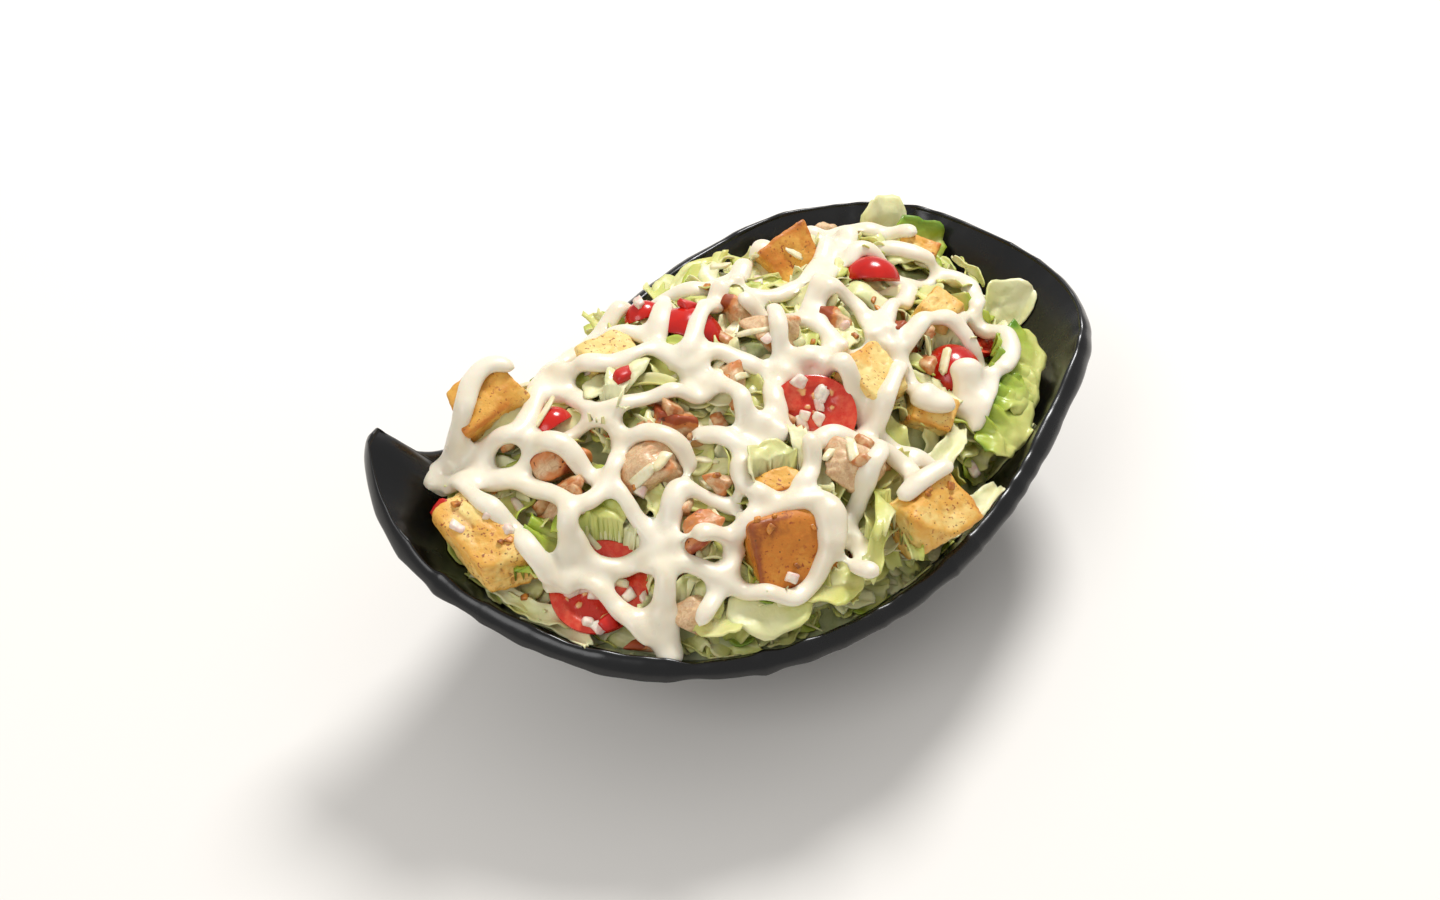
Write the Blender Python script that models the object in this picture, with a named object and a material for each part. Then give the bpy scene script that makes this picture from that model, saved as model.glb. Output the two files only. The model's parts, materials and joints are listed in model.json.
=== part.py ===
"""Chicken caesar salad in a leaf-shaped bowl: the bowl, the heap of leaves, and each large topping.

Metres, +Z up. The origin is on the table, under the middle of the bowl. +X runs along the bowl's
length, from the raised tip towards the blunt corner, and -Y is the side that faces the diner.
"""

import math
import random

import bmesh
import bpy
import numpy as np
from mathutils import Euler, Vector, noise
from mathutils.bvhtree import BVHTree

MM = 0.001

# Bowl. Each rim point is x, y, then how far below the rim the heap meets the wall there, and how
# thick the heap's edge is, all in millimetres and counter-clockwise from the tip.
RIM_POINTS = (
    (-113.0, -6.0, 17, 5),
    (-115.0, -20.0, 12, 5),
    (-108.5, -39.0, 8, 5),
    (-92.0, -58.5, 6, 6),
    (-64.0, -80.5, 5, 6),
    (-26.0, -91.0, 4, 6),
    (17.0, -84.5, 5, 6),
    (56.0, -63.5, 9, 6),
    (88.0, -33.5, 19, 5),
    (110.5, -4.0, 24, 4),
    (114.5, 22.0, 17, 5),
    (105.0, 53.0, 12, 6),
    (80.0, 83.0, 8, 6),
    (42.0, 91.5, 10, 6),
    (2.0, 78.0, 9, 10),
    (-38.0, 49.0, 6, 20),
    (-72.0, 13.5, 5, 22),
    (-94.0, -3.5, 10, 15),
    (-106.0, -4.5, 16, 8),
)
TIP = (-113.0, -6.0)
CORNER = (110.5, -4.0)
SIDE_HEIGHT = 44.5
TIP_RISE = 34.0
TIP_REACH = 40.0
CORNER_RISE = 14.0
CORNER_REACH = 75.0
WALL = 4.6
FOOT_SHARE = 0.48
FOOT_SOFTNESS = 0.9
WALL_CURVE = 1.2
CURVE_STEPS = 24
WALL_STEPS = 40
SLOPE_REACH = 0.03
FINE_STATIONS = 480
STATIONS = 64
TIP_CROWDING = 2.5
TIP_CROWDING_REACH = 18.0
WALL_LEVELS = (0.0, 0.08, 0.22, 0.42, 0.65, 0.88, 1.0)
FLOOR_SHARE = 0.6
BEAD_ANGLES = (45, 90, 135)
BEAD_HEIGHT = 2.4

# Heap of leaves.
GAP = 0.35
HOLLOW_GROWTH = 0.45 * MM
CROWN = (-4.0, -2.0)
CROWN_HEIGHT = 77.0
CROWN_POWER = 2.3
HEAP_LEVELS = (0.0, 0.25, 0.5, 0.75, 1.0)
HEAP_RINGS = (0.97, 0.88, 0.76, 0.63, 0.5, 0.36, 0.2)
LUMPS = ((36.0, 5.0), (15.0, 2.4))

# Toppings, in millimetres and degrees: x and y on the heap, height of the middle over the heap's
# top there, size, and the turn about X, Y and then Z. A tomato has a radius, how much of a round
# tomato it is in degrees of arc, and a turn.
CROUTONS = (
    ((-88, -38), 6, (34, 15, 14), (8, 6, -62)),
    ((-76, 1), 5, (23, 18, 16), (20, -15, 20)),
    ((28, 47), 1, (20, 17, 12), (40, 0, 25)),
    ((-7, -65), -1, (25, 23, 13), (48, 0, 8)),
    ((-5, -47), 1, (18, 8, 7), (15, 0, 5)),
    ((32, -17), 1, (19, 18, 14), (22, 8, 30)),
    ((49, -23), 1, (16, 14, 12), (20, 20, -20)),
    ((65, 14), 1, (15, 14, 12), (15, 10, 40)),
    ((36, -61), 4, (23, 19, 15), (30, 10, 28)),
    ((-39, 11), 0, (18, 12, 9), (12, 0, 10)),
    ((74, 50), 1, (13, 10, 9), (10, 15, -30)),
)
TOMATOES = (
    ((-60, -59), 0, 12.8, 180, (24, -8, 20)),
    ((-14, 14), -1, 10.0, 110, (200, 10, -30)),
    ((-24, 27), 0, 5.5, 110, (205, 0, 10)),
    ((51, 32), 0, 8.0, 110, (200, 0, -15)),
    ((64, -6), 0, 9.5, 180, (215, 0, 75)),
    ((79, 8), 0, 5.5, 180, (20, 10, 70)),
    ((12, -26), 0, 11.5, 180, (38, 4, -15)),
    ((-61, -10), 0, 6.0, 110, (200, 0, 25)),
)
CHICKEN = (
    ((-40, -32), 1, (24, 17, 13), (12, -6, 16)),
    ((-27, -18), 1, (14, 13, 12), (10, 15, -30)),
    ((-9, -9), 1, (14, 14, 12), (15, 10, 60)),
    ((-62, -23), 1, (17, 12, 11), (20, -10, 15)),
    ((-65, -37), 1, (14, 12, 11), (25, -15, -20)),
    ((-46, -13), 0, (12, 10, 9), (10, 0, 40)),
    ((18, -45), 1, (19, 17, 14), (22, 8, -10)),
    ((-30, -57), 1, (14, 11, 10), (20, 0, 10)),
    ((-41, -64), 1, (8, 8, 8), (15, 10, 30)),
    ((-39, -74), 1, (14, 10, 9), (20, 0, -15)),
    ((-52, -76), 2, (12, 5, 5), (10, 0, -20)),
    ((49, 5), 1, (15, 13, 12), (10, 15, 30)),
    ((3, 21), 1, (9, 11, 10), (0, 10, 10)),
    ((10, 5), 1, (17, 14, 11), (5, 10, -10)),
    ((50, 73), 1, (11, 9, 8), (0, 10, 15)),
    ((60, 62), 1, (9, 8, 8), (10, 0, 0)),
    ((-33, -46), 0, (10, 8, 8), (10, 10, 50)),
    ((-21, -43), 0, (9, 7, 7), (10, 0, -10)),
    ((12, -68), 1, (6, 14, 6), (20, 10, -10)),
    ((31, 10), 0, (12, 8, 7), (0, 20, 0)),
)
CRUMB_CORNER = 2.4
CRUMB_SEGMENTS = 2
CRUMB_PROFILE = 0.6
CORNER_SHIFT = 0.05
CHICKEN_SQUARENESS = 0.62
CHICKEN_LUMP = 0.1
CHICKEN_LUMP_SPREAD = 1.6
TOMATO_LENGTH = 1.12
TOMATO_SEGMENTS = 12
TOMATO_RINGS = 6

# Colours, linear.
BLACK_MELAMINE = (0.012, 0.012, 0.013)
LEAF_GREEN = (0.42, 0.55, 0.16)
TOAST = (0.62, 0.33, 0.09)
TOMATO_RED = (0.55, 0.03, 0.02)
CHICKEN_TAN = (0.62, 0.38, 0.24)


def material(name, colour, roughness):
    """A Principled material of one colour."""
    made = bpy.data.materials.new(name)
    made.use_nodes = True
    shader = made.node_tree.nodes["Principled BSDF"]
    shader.inputs["Base Color"].default_value = (*colour, 1)
    shader.inputs["Roughness"].default_value = roughness
    shader.inputs["Metallic"].default_value = 0
    return made


def add_object(name, mesh, finish, smooth_angle=math.radians(40)):
    """Puts a mesh in the scene as one named object."""
    mesh.materials.append(finish)
    mesh.shade_smooth()
    mesh.set_sharp_from_angle(angle=smooth_angle)
    made = bpy.data.objects.new(name, mesh)
    bpy.context.scene.collection.objects.link(made)
    return made


def closed_curve(points, count):
    """Centripetal Catmull-Rom curve through a closed list of points, at even steps along its x, y length."""
    points = np.asarray(points, float)
    before, after, last = (np.roll(points, shift, 0) for shift in (1, -1, -2))
    stretches = []
    for p0, p1, p2, p3 in zip(before, points, after, last):
        knots = np.cumsum([0.0] + [math.dist(a[:2], b[:2]) ** 0.5 for a, b in ((p0, p1), (p1, p2), (p2, p3))])
        t = np.linspace(knots[1], knots[2], CURVE_STEPS, endpoint=False)[:, None]

        def blend(a, b, start, end):
            return ((knots[end] - t) * a + (t - knots[start]) * b) / (knots[end] - knots[start])

        a1, a2, a3 = blend(p0, p1, 0, 1), blend(p1, p2, 1, 2), blend(p2, p3, 2, 3)
        stretches.append(blend(blend(a1, a2, 0, 2), blend(a2, a3, 1, 3), 1, 2))
    dense = np.vstack(stretches)
    dense = np.vstack([dense, dense[:1]])
    length = np.concatenate([[0], np.cumsum(np.linalg.norm(np.diff(dense[:, :2], axis=0), axis=1))])
    steps = np.linspace(0, length[-1], count, endpoint=False)
    return np.column_stack([np.interp(steps, length, column) for column in dense.T])


def rim_height(outline):
    """The rim is level along the sides and sweeps up to the tip, and less so to the corner."""
    to_tip = np.linalg.norm(outline - TIP, axis=-1)
    to_corner = np.linalg.norm(outline - CORNER, axis=-1)
    rise = TIP_RISE * np.exp(-to_tip / TIP_REACH) + CORNER_RISE * np.exp(-((to_corner / CORNER_REACH) ** 1.5))
    return SIDE_HEIGHT + rise


def softened(outline, share, softness, about_origin=False):
    """The outline made smaller, and rounder: each wave in it fades with its number.

    It shrinks about its own middle, or, with about_origin, towards the origin."""
    waves = np.fft.fft(outline[:, 0] + 1j * outline[:, 1])
    number = np.abs(np.fft.fftfreq(len(outline), 1 / len(outline)))
    fade = share * np.exp(-softness * np.maximum(number - 1, 0))
    fade[0] = fade[0] if about_origin else 1
    loop = np.fft.ifft(waves * fade)
    return np.column_stack([loop.real, loop.imag])


def wall_ring(rim, level):
    """Ring of the bowl's outer surface: level 0 is the rim and 1 the foot's edge, one value or one per station."""
    outline, height = rim[:, :2], rim_height(rim[:, :2])
    level = np.broadcast_to(level, len(rim))
    steps = np.linspace(0, 1, WALL_STEPS + 1)
    stack = np.array([softened(outline, 1 - (1 - FOOT_SHARE) * s, FOOT_SOFTNESS * s) for s in steps])
    low = np.minimum((level * WALL_STEPS).astype(int), WALL_STEPS - 1)
    part = (level * WALL_STEPS - low)[:, None]
    station = np.arange(len(rim))
    flat = stack[low, station] * (1 - part) + stack[low + 1, station] * part
    return np.column_stack([flat, height * (1 - level) ** WALL_CURVE])


def facing_in(rim, level):
    """Unit normals of the outer surface at a level, turned to the inside of the bowl."""
    level = np.broadcast_to(level, len(rim))
    upper, lower = (wall_ring(rim, np.clip(level + step, 0, 1)) for step in (-SLOPE_REACH, SLOPE_REACH))
    here = wall_ring(rim, level)
    along = np.roll(here, -1, 0) - np.roll(here, 1, 0)
    normal = np.cross(along, upper - lower)
    normal /= np.linalg.norm(normal, axis=1, keepdims=True)
    return normal * np.sign(normal[:, 2].sum())


def inner_ring(rim, level, offset):
    """Ring at a distance inside the outer surface, no lower than the floor at that thickness."""
    ring = wall_ring(rim, level) + facing_in(rim, level) * offset
    ring[:, 2] = np.maximum(ring[:, 2], offset)
    return ring


def surface(rings, first_pole, last_pole):
    """Closed mesh through a stack of rings of equal length, with a point at each end."""
    count = len(rings[0])
    points = [first_pole, *np.vstack(rings), last_pole]
    step = np.arange(count)
    after = (step + 1) % count
    faces = [(0, 1 + b, 1 + a) for a, b in zip(step, after)]
    for row in range(len(rings) - 1):
        low, high = 1 + row * count, 1 + (row + 1) * count
        faces += [(low + a, low + b, high + b, high + a) for a, b in zip(step, after)]
    top = 1 + (len(rings) - 1) * count
    faces += [(top + a, top + b, len(points) - 1) for a, b in zip(step, after)]
    mesh = bpy.data.meshes.new("surface")
    mesh.from_pydata([tuple(float(c) * MM for c in point) for point in points], [], faces)
    mesh.validate()
    return mesh


def chosen_stations(rim):
    """Evenly spread stations, closer together round the tight bend of the tip."""
    crowding = 1 + TIP_CROWDING * np.exp(-((np.linalg.norm(rim[:, :2] - TIP, axis=1) / TIP_CROWDING_REACH) ** 2))
    share = np.cumsum(crowding) / crowding.sum()
    return np.searchsorted(share, np.arange(STATIONS) / STATIONS)


def bowl_mesh(rim):
    """Up the outside from the foot, over the bead, and down the inside to the floor."""
    foot, floor = wall_ring(rim, 1.0), inner_ring(rim, 1.0, WALL)
    middle = foot.mean(0)
    rings = [middle + (foot - middle) * FLOOR_SHARE]
    rings += [wall_ring(rim, level) for level in reversed(WALL_LEVELS)]
    outer, inner = rings[-1], inner_ring(rim, 0.0, WALL)
    for angle in np.radians(BEAD_ANGLES):
        side = (outer + inner) / 2 + (outer - inner) / 2 * math.cos(angle)
        rings.append(side + np.array([0, 0, BEAD_HEIGHT * math.sin(angle)]))
    rings += [inner_ring(rim, level, WALL) for level in WALL_LEVELS]
    middle_up = np.array([*middle[:2], WALL])
    rings.append(middle_up + (floor - middle_up) * FLOOR_SHARE)
    return surface([ring[chosen_stations(rim)] for ring in rings], middle, middle_up)


def lumpy(point):
    """Height of the lumps in the heap's top at a point, in millimetres."""
    return sum(depth * noise.noise(Vector((point[0], point[1], 0)) / size) for size, depth in LUMPS)


def heap_mesh(rim):
    """Up the inside of the bowl to where the heap meets the wall, then over its lumpy crown."""
    height = rim_height(rim[:, :2])
    edge_level = 1 - (1 - rim[:, 2] / height) ** (1 / WALL_CURVE)
    offset = WALL + GAP
    floor = inner_ring(rim, 1.0, offset)
    middle = np.array([*floor.mean(0)[:2], offset])
    rings = [middle + (floor - middle) * FLOOR_SHARE]
    rings += [inner_ring(rim, 1 - (1 - edge_level) * share, offset) for share in HEAP_LEVELS]
    edge = rings[-1].copy()
    edge[:, 2] += rim[:, 3]
    crown = np.array([*CROWN, CROWN_HEIGHT])
    for share in HEAP_RINGS:
        ring = edge.copy()
        ring[:, :2] = crown[:2] + softened(edge[:, :2] - crown[:2], share, 1 - share, about_origin=True)
        ring[:, 2] = edge[:, 2] + (CROWN_HEIGHT - edge[:, 2]) * (1 - share**CROWN_POWER)
        ring[:, 2] += [lumpy(point) for point in ring]
        rings.append(ring)
    crown[2] += lumpy(crown)
    return surface([ring[chosen_stations(rim)] for ring in rings], middle, crown)


def shape_object(name, built, finish, place, turn):
    """Makes an object of a bmesh in millimetres, turned and then moved to its place."""
    bmesh.ops.recalc_face_normals(built, faces=built.faces)
    bmesh.ops.triangulate(built, faces=built.faces)
    bmesh.ops.scale(built, vec=(MM, MM, MM), verts=built.verts)
    mesh = bpy.data.meshes.new(name)
    built.to_mesh(mesh)
    built.free()
    made = add_object(name, mesh, finish)
    made.location = Vector(place) * MM
    made.rotation_euler = Euler([math.radians(angle) for angle in turn], "XYZ")
    return made


def crouton(name, place, size, turn, finish):
    """A torn cube of bread: a box whose corners are a little out of place, and then rounded."""
    chance = random.Random(name)
    built = bmesh.new()
    bmesh.ops.create_cube(built, size=1)
    for corner in built.verts:
        corner.co = Vector(c * s * (1 + chance.uniform(-2, 2) * CORNER_SHIFT) for c, s in zip(corner.co, size))
    edges = list(built.edges)
    bmesh.ops.bevel(built, geom=edges, offset=CRUMB_CORNER, segments=CRUMB_SEGMENTS, profile=CRUMB_PROFILE, affect="EDGES")
    return shape_object(name, built, finish, place, turn)


def tomato(name, place, radius, arc, turn, finish):
    """A cherry tomato, a little longer than round, cut to a half or a wedge of the given arc."""
    built = bmesh.new()
    bmesh.ops.create_uvsphere(built, u_segments=TOMATO_SEGMENTS, v_segments=TOMATO_RINGS, radius=radius)
    bmesh.ops.scale(built, vec=(TOMATO_LENGTH, 1, 1), verts=built.verts)
    normals = [Vector((0, 0, 1))]
    if arc < 180:
        angle = math.radians(arc)
        normals.append(Vector((0, math.sin(angle), -math.cos(angle))))
    for normal in normals:
        everything = list(built.verts) + list(built.edges) + list(built.faces)
        cut = bmesh.ops.bisect_plane(
            built, geom=everything, plane_co=(0, 0, 0), plane_no=normal, clear_outer=True, dist=1e-4
        )
        edges = [piece for piece in cut["geom_cut"] if isinstance(piece, bmesh.types.BMEdge)]
        bmesh.ops.contextual_create(built, geom=edges)
    bmesh.ops.remove_doubles(built, verts=built.verts, dist=0.01)
    return shape_object(name, built, finish, place, turn)


def chicken(name, place, size, turn, finish):
    """A cut chunk of grilled chicken: a ball squared towards a block, with soft lumps."""
    chance = random.Random(name)
    shift = Vector([chance.uniform(0, 50) for _ in range(3)])
    built = bmesh.new()
    bmesh.ops.create_icosphere(built, subdivisions=2, radius=1)
    for point in built.verts:
        lump = 1 + CHICKEN_LUMP * noise.noise(point.co * CHICKEN_LUMP_SPREAD + shift)
        squared = [math.copysign(abs(c) ** CHICKEN_SQUARENESS, c) for c in point.co]
        point.co = Vector(c * lump * s / 2 for c, s in zip(squared, size))
    return shape_object(name, built, finish, place, turn)


def make_toppings(heap_top):
    """Every large topping, at its height over the uncut heap."""

    def place(at, lift):
        hit = heap_top.ray_cast(Vector((at[0] * MM, at[1] * MM, 1)), Vector((0, 0, -1)))[0]
        return at[0], at[1], hit.z / MM + lift

    toast = material("toasted_bread", TOAST, 0.6)
    flesh = material("tomato", TOMATO_RED, 0.2)
    grilled = material("grilled_chicken", CHICKEN_TAN, 0.45)
    made = []
    for number, (at, lift, size, turn) in enumerate(CROUTONS, 1):
        made.append(crouton(f"crouton_{number:02d}", place(at, lift), size, turn, toast))
    for number, (at, lift, radius, arc, turn) in enumerate(TOMATOES, 1):
        made.append(tomato(f"tomato_{number:02d}", place(at, lift), radius, arc, turn, flesh))
    for number, (at, lift, size, turn) in enumerate(CHICKEN, 1):
        made.append(chicken(f"chicken_{number:02d}", place(at, lift), size, turn, grilled))
    return made


def cut_hollow(whole, piece):
    """Cuts a hollow for a piece into the whole, a gap wider than the piece all round.

    So many cuts in a row leave nothing with the EXACT solver, and the MANIFOLD solver holds."""
    mesh = piece.data.copy()
    for point in mesh.vertices:
        point.co += point.normal * HOLLOW_GROWTH
    cutter = bpy.data.objects.new(piece.name + "_cutter", mesh)
    bpy.context.scene.collection.objects.link(cutter)
    cutter.location = piece.location
    cutter.rotation_euler = piece.rotation_euler
    cutter.hide_render = True
    cutter.display_type = "WIRE"
    cut = whole.modifiers.new(cutter.name, "BOOLEAN")
    cut.operation = "DIFFERENCE"
    cut.solver = "MANIFOLD"
    cut.object = cutter


def clear_scene():
    for old in list(bpy.data.objects):
        bpy.data.objects.remove(old, do_unlink=True)


clear_scene()
rim = closed_curve(RIM_POINTS, FINE_STATIONS)
bowl = add_object("bowl", bowl_mesh(rim), material("black_melamine", BLACK_MELAMINE, 0.25))
heap = add_object("salad_heap", heap_mesh(rim), material("leaves", LEAF_GREEN, 0.5))
heap_points = [point.co for point in heap.data.vertices]
heap_top = BVHTree.FromPolygons(heap_points, [face.vertices for face in heap.data.polygons])
for topping in make_toppings(heap_top):
    cut_hollow(heap, topping)
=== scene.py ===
import json
import math

import bmesh
import bpy
import numpy as np
from mathutils import Euler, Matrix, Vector
from mathutils.bvhtree import BVHTree

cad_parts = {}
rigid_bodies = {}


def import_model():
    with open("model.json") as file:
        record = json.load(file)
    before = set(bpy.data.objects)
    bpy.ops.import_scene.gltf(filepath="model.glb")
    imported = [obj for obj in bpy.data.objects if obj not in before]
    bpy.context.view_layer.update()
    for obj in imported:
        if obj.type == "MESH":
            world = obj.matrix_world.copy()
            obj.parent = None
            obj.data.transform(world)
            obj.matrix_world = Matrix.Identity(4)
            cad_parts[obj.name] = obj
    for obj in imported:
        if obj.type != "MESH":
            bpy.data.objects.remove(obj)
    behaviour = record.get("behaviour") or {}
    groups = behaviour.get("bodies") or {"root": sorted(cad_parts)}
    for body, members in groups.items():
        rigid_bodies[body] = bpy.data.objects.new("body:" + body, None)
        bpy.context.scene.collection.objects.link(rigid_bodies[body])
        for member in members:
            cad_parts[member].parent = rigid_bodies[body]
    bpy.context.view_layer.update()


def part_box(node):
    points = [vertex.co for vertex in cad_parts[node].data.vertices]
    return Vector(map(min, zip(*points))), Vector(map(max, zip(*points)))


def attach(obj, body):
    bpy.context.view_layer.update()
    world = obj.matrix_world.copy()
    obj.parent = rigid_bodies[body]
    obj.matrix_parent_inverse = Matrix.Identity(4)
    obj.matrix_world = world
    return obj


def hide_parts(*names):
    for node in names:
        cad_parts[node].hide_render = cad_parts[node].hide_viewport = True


# A chicken caesar salad in a black leaf-shaped bowl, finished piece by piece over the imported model.
# Shapes are worked out in millimetres and put into the meshes in metres.

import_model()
mm = 0.001
scene = bpy.context.scene
scene.view_settings.view_transform = "Standard"


def cloud(points, size, seed=0):
    # Smooth random field from -1 to 1: random values at the corners of cubes of this size, eased
    # across each cube with 3t^2 - 2t^3 and blended in x, y and z.
    spot = np.asarray(points, float) / size + 100.0
    base = np.floor(spot).astype(np.int64)
    part = spot - base
    part = part * part * (3 - 2 * part)
    total = np.zeros(len(spot))
    for dx in (0, 1):
        for dy in (0, 1):
            for dz in (0, 1):
                x, y, z = base[:, 0] + dx, base[:, 1] + dy, base[:, 2] + dz
                mixed = (x * 73856093) ^ (y * 19349663) ^ (z * 83492791) ^ (seed * 2654435761)
                mixed = ((mixed ^ (mixed >> 13)) * 1274126177) & 0x7FFFFFFF
                value = (mixed ^ (mixed >> 16)) % 65536 / 32767.5 - 1
                weight = np.abs(1 - dx - part[:, 0]) * np.abs(1 - dy - part[:, 1])
                weight = weight * np.abs(1 - dz - part[:, 2])
                total += value * weight
    return total


def turned(points, degrees):
    # Turns points about X, then Y, then Z.
    matrix = np.array(Euler([math.radians(angle) for angle in degrees], "XYZ").to_matrix())
    return points @ matrix.T


def addMesh(name, points, faces, finish, values=None):
    # Puts arrays in millimetres into a mesh object at the origin; values are numbers kept per point.
    mesh = bpy.data.meshes.new(name)
    mesh.from_pydata((np.asarray(points, float) * mm).tolist(), [], faces)
    mesh.materials.append(finish)
    mesh.polygons.foreach_set("use_smooth", np.full(len(mesh.polygons), True))
    for label, numbers in (values or {}).items():
        layer = mesh.attributes.new(label, "FLOAT", "POINT")
        layer.data.foreach_set("value", np.asarray(numbers, np.float32))
    made = bpy.data.objects.new(name, mesh)
    scene.collection.objects.link(made)
    return made


def gridFaces(rows, columns, closedColumns=True, start=0):
    # Quads between neighbouring rows of points; closed columns join the last point to the first.
    r = np.arange(rows - 1)[:, None]
    c = np.arange(columns if closedColumns else columns - 1)[None, :]
    r2, c2 = r + 1, (c + 1) % columns
    quads = np.stack([r * columns + c, r * columns + c2, r2 * columns + c2, r2 * columns + c], -1)
    return quads.reshape(-1, 4) + start


def closedStack(rings, firstPole, lastPole):
    # A closed surface through rings of equal length with a point at each end: (points, faces).
    count = len(rings[0])
    points = np.vstack([firstPole, np.vstack(rings), lastPole])
    around = np.arange(count)
    after = (around + 1) % count
    top = 1 + (len(rings) - 1) * count
    faces = np.column_stack([np.zeros(count, int), 1 + after, 1 + around]).tolist()
    faces += gridFaces(len(rings), count, start=1).tolist()
    faces += np.column_stack([top + around, top + after, np.full(count, len(points) - 1)]).tolist()
    return points, faces


def joinedLoose(parts):
    # One point array and one face list from several (points, faces), which stay separate shells.
    points, faces, start = [], [], 0
    for some, few in parts:
        points.append(some)
        faces += [[corner + start for corner in face] for face in few]
        start += len(some)
    return np.vstack(points), faces


class Signal:
    # A socket, or a number, that can be added, multiplied and so on to build Math nodes.
    def __init__(self, graph, socket):
        self.graph, self.socket = graph, socket

    def maths(self, operation, *others, clamp=False):
        links = {0: self, **{number + 1: other for number, other in enumerate(others)}}
        return self.graph.node("ShaderNodeMath", {"operation": operation, "use_clamp": clamp}, links)

    def __add__(self, other):
        return self.maths("ADD", other)

    def __radd__(self, other):
        return self.maths("ADD", other)

    def __sub__(self, other):
        return self.maths("SUBTRACT", other)

    def __rsub__(self, other):
        return (self * -1).maths("ADD", other)

    def __mul__(self, other):
        return self.maths("MULTIPLY", other)

    def __rmul__(self, other):
        return self.maths("MULTIPLY", other)

    def band(self, low, high):
        # 0 below low, 1 above high, eased between.
        return self.graph.node("ShaderNodeMapRange", {"interpolation_type": "SMOOTHSTEP"},
                               {0: self, 1: low, 2: high, 3: 0.0, 4: 1.0})


class Finish:
    # One Principled material and the nodes behind it.
    def __init__(self, name, roughness=0.5, **sockets):
        self.material = bpy.data.materials.new(name)
        self.material.use_nodes = True
        self.tree = self.material.node_tree
        self.shader = self.tree.nodes["Principled BSDF"]
        self.shader.inputs["Roughness"].default_value = roughness
        for label, value in sockets.items():
            self.shader.inputs[label.replace("_", " ")].default_value = value
        self.place = self.node("ShaderNodeTexCoord", {}, {}, "Object")

    def node(self, kind, settings, links, output=0):
        # Settings first, then each socket gets a value or a link; returns the chosen output.
        made = self.tree.nodes.new(kind)
        for label, value in settings.items():
            setattr(made, label, value)
        for label, value in links.items():
            if isinstance(value, Signal):
                self.tree.links.new(value.socket, made.inputs[label])
            else:
                made.inputs[label].default_value = value
        return Signal(self, made.outputs[output])

    def noise(self, size, detail=2.0, distortion=0.0):
        # Noise from 0 to 1 whose blobs are about this many millimetres across.
        links = {"Vector": self.place, "Scale": 1 / (size * mm), "Detail": detail,
                 "Roughness": 0.55, "Distortion": distortion}
        return self.node("ShaderNodeTexNoise", {}, links, "Fac")

    def cells(self, size):
        # Distance to the nearest cell centre.
        links = {"Vector": self.place, "Scale": 1 / (size * mm)}
        return self.node("ShaderNodeTexVoronoi", {}, links, "Distance")

    def stored(self, label):
        return self.node("ShaderNodeAttribute", {"attribute_name": label}, {}, "Fac")

    def mix(self, factor, first, second):
        # Blends two colours: a plain triple or a socket each.
        links = {0: factor, 6: self.colour(first), 7: self.colour(second)}
        return self.node("ShaderNodeMix", {"data_type": "RGBA"}, links, 2)

    def colour(self, value):
        return value if isinstance(value, Signal) else (*value, 1.0)

    def paint(self, colour=None, roughness=None, height=None, strength=0.3, distance=0.3):
        # Links what varies into the shader; height in 0 to 1 becomes a bump this many millimetres deep.
        for label, value in (("Base Color", colour), ("Roughness", roughness)):
            if isinstance(value, Signal):
                self.tree.links.new(value.socket, self.shader.inputs[label])
            elif value is not None:
                value = self.colour(value) if label == "Base Color" else value
                self.shader.inputs[label].default_value = value
        if height is not None:
            links = {"Height": height, "Strength": strength, "Distance": distance * mm}
            bump = self.node("ShaderNodeBump", {}, links, "Normal")
            self.tree.links.new(bump.socket, self.shader.inputs["Normal"])
        return self.material


def srgb(red, green, blue):
    # A colour as read on screen, 0 to 255, made linear.
    parts = (red / 255, green / 255, blue / 255)
    return tuple(c / 12.92 if c <= 0.04045 else ((c + 0.055) / 1.055) ** 2.4 for c in parts)


def finished(piece, slot, *nodes):
    # Every piece rides on the one body and stands for its nodes, which it hides; the slot is not used.
    if nodes:
        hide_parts(*nodes)
    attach(piece, "root")
    return piece


bowl = {
    # x and y round the rim from the tip, how far below the rim the heap meets the wall, and how thick
    # the heap's edge is
    "rimPoints": (
        (-113.0, -6.0, 17, 5), (-115.0, -20.0, 12, 5), (-108.5, -39.0, 8, 5), (-92.0, -58.5, 6, 6),
        (-64.0, -80.5, 5, 6), (-26.0, -91.0, 4, 6), (17.0, -84.5, 5, 6), (56.0, -63.5, 9, 6),
        (88.0, -33.5, 19, 5), (110.5, -4.0, 24, 4), (114.5, 22.0, 17, 5), (105.0, 53.0, 12, 6),
        (80.0, 83.0, 8, 6), (42.0, 91.5, 10, 6), (2.0, 78.0, 9, 10), (-38.0, 49.0, 6, 20),
        (-72.0, 13.5, 5, 22), (-94.0, -3.5, 10, 15), (-106.0, -4.5, 16, 8),
    ),
    "tip": (-113.0, -6.0), "tipRise": 34.0, "tipReach": 40.0,
    "corner": (110.5, -4.0), "cornerRise": 14.0, "cornerReach": 75.0,
    "sideHeight": 44.5, "wall": 4.6, "wallCurve": 1.2,
    "footShare": 0.48, "footSoftness": 0.9, "beadHeight": 2.4, "beadBulge": 0.9, "beadReach": 0.09,
    "dent": 0.85, "dentLength": 12.0, "dentReach": 0.06,
    "stations": 960,
}


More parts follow.
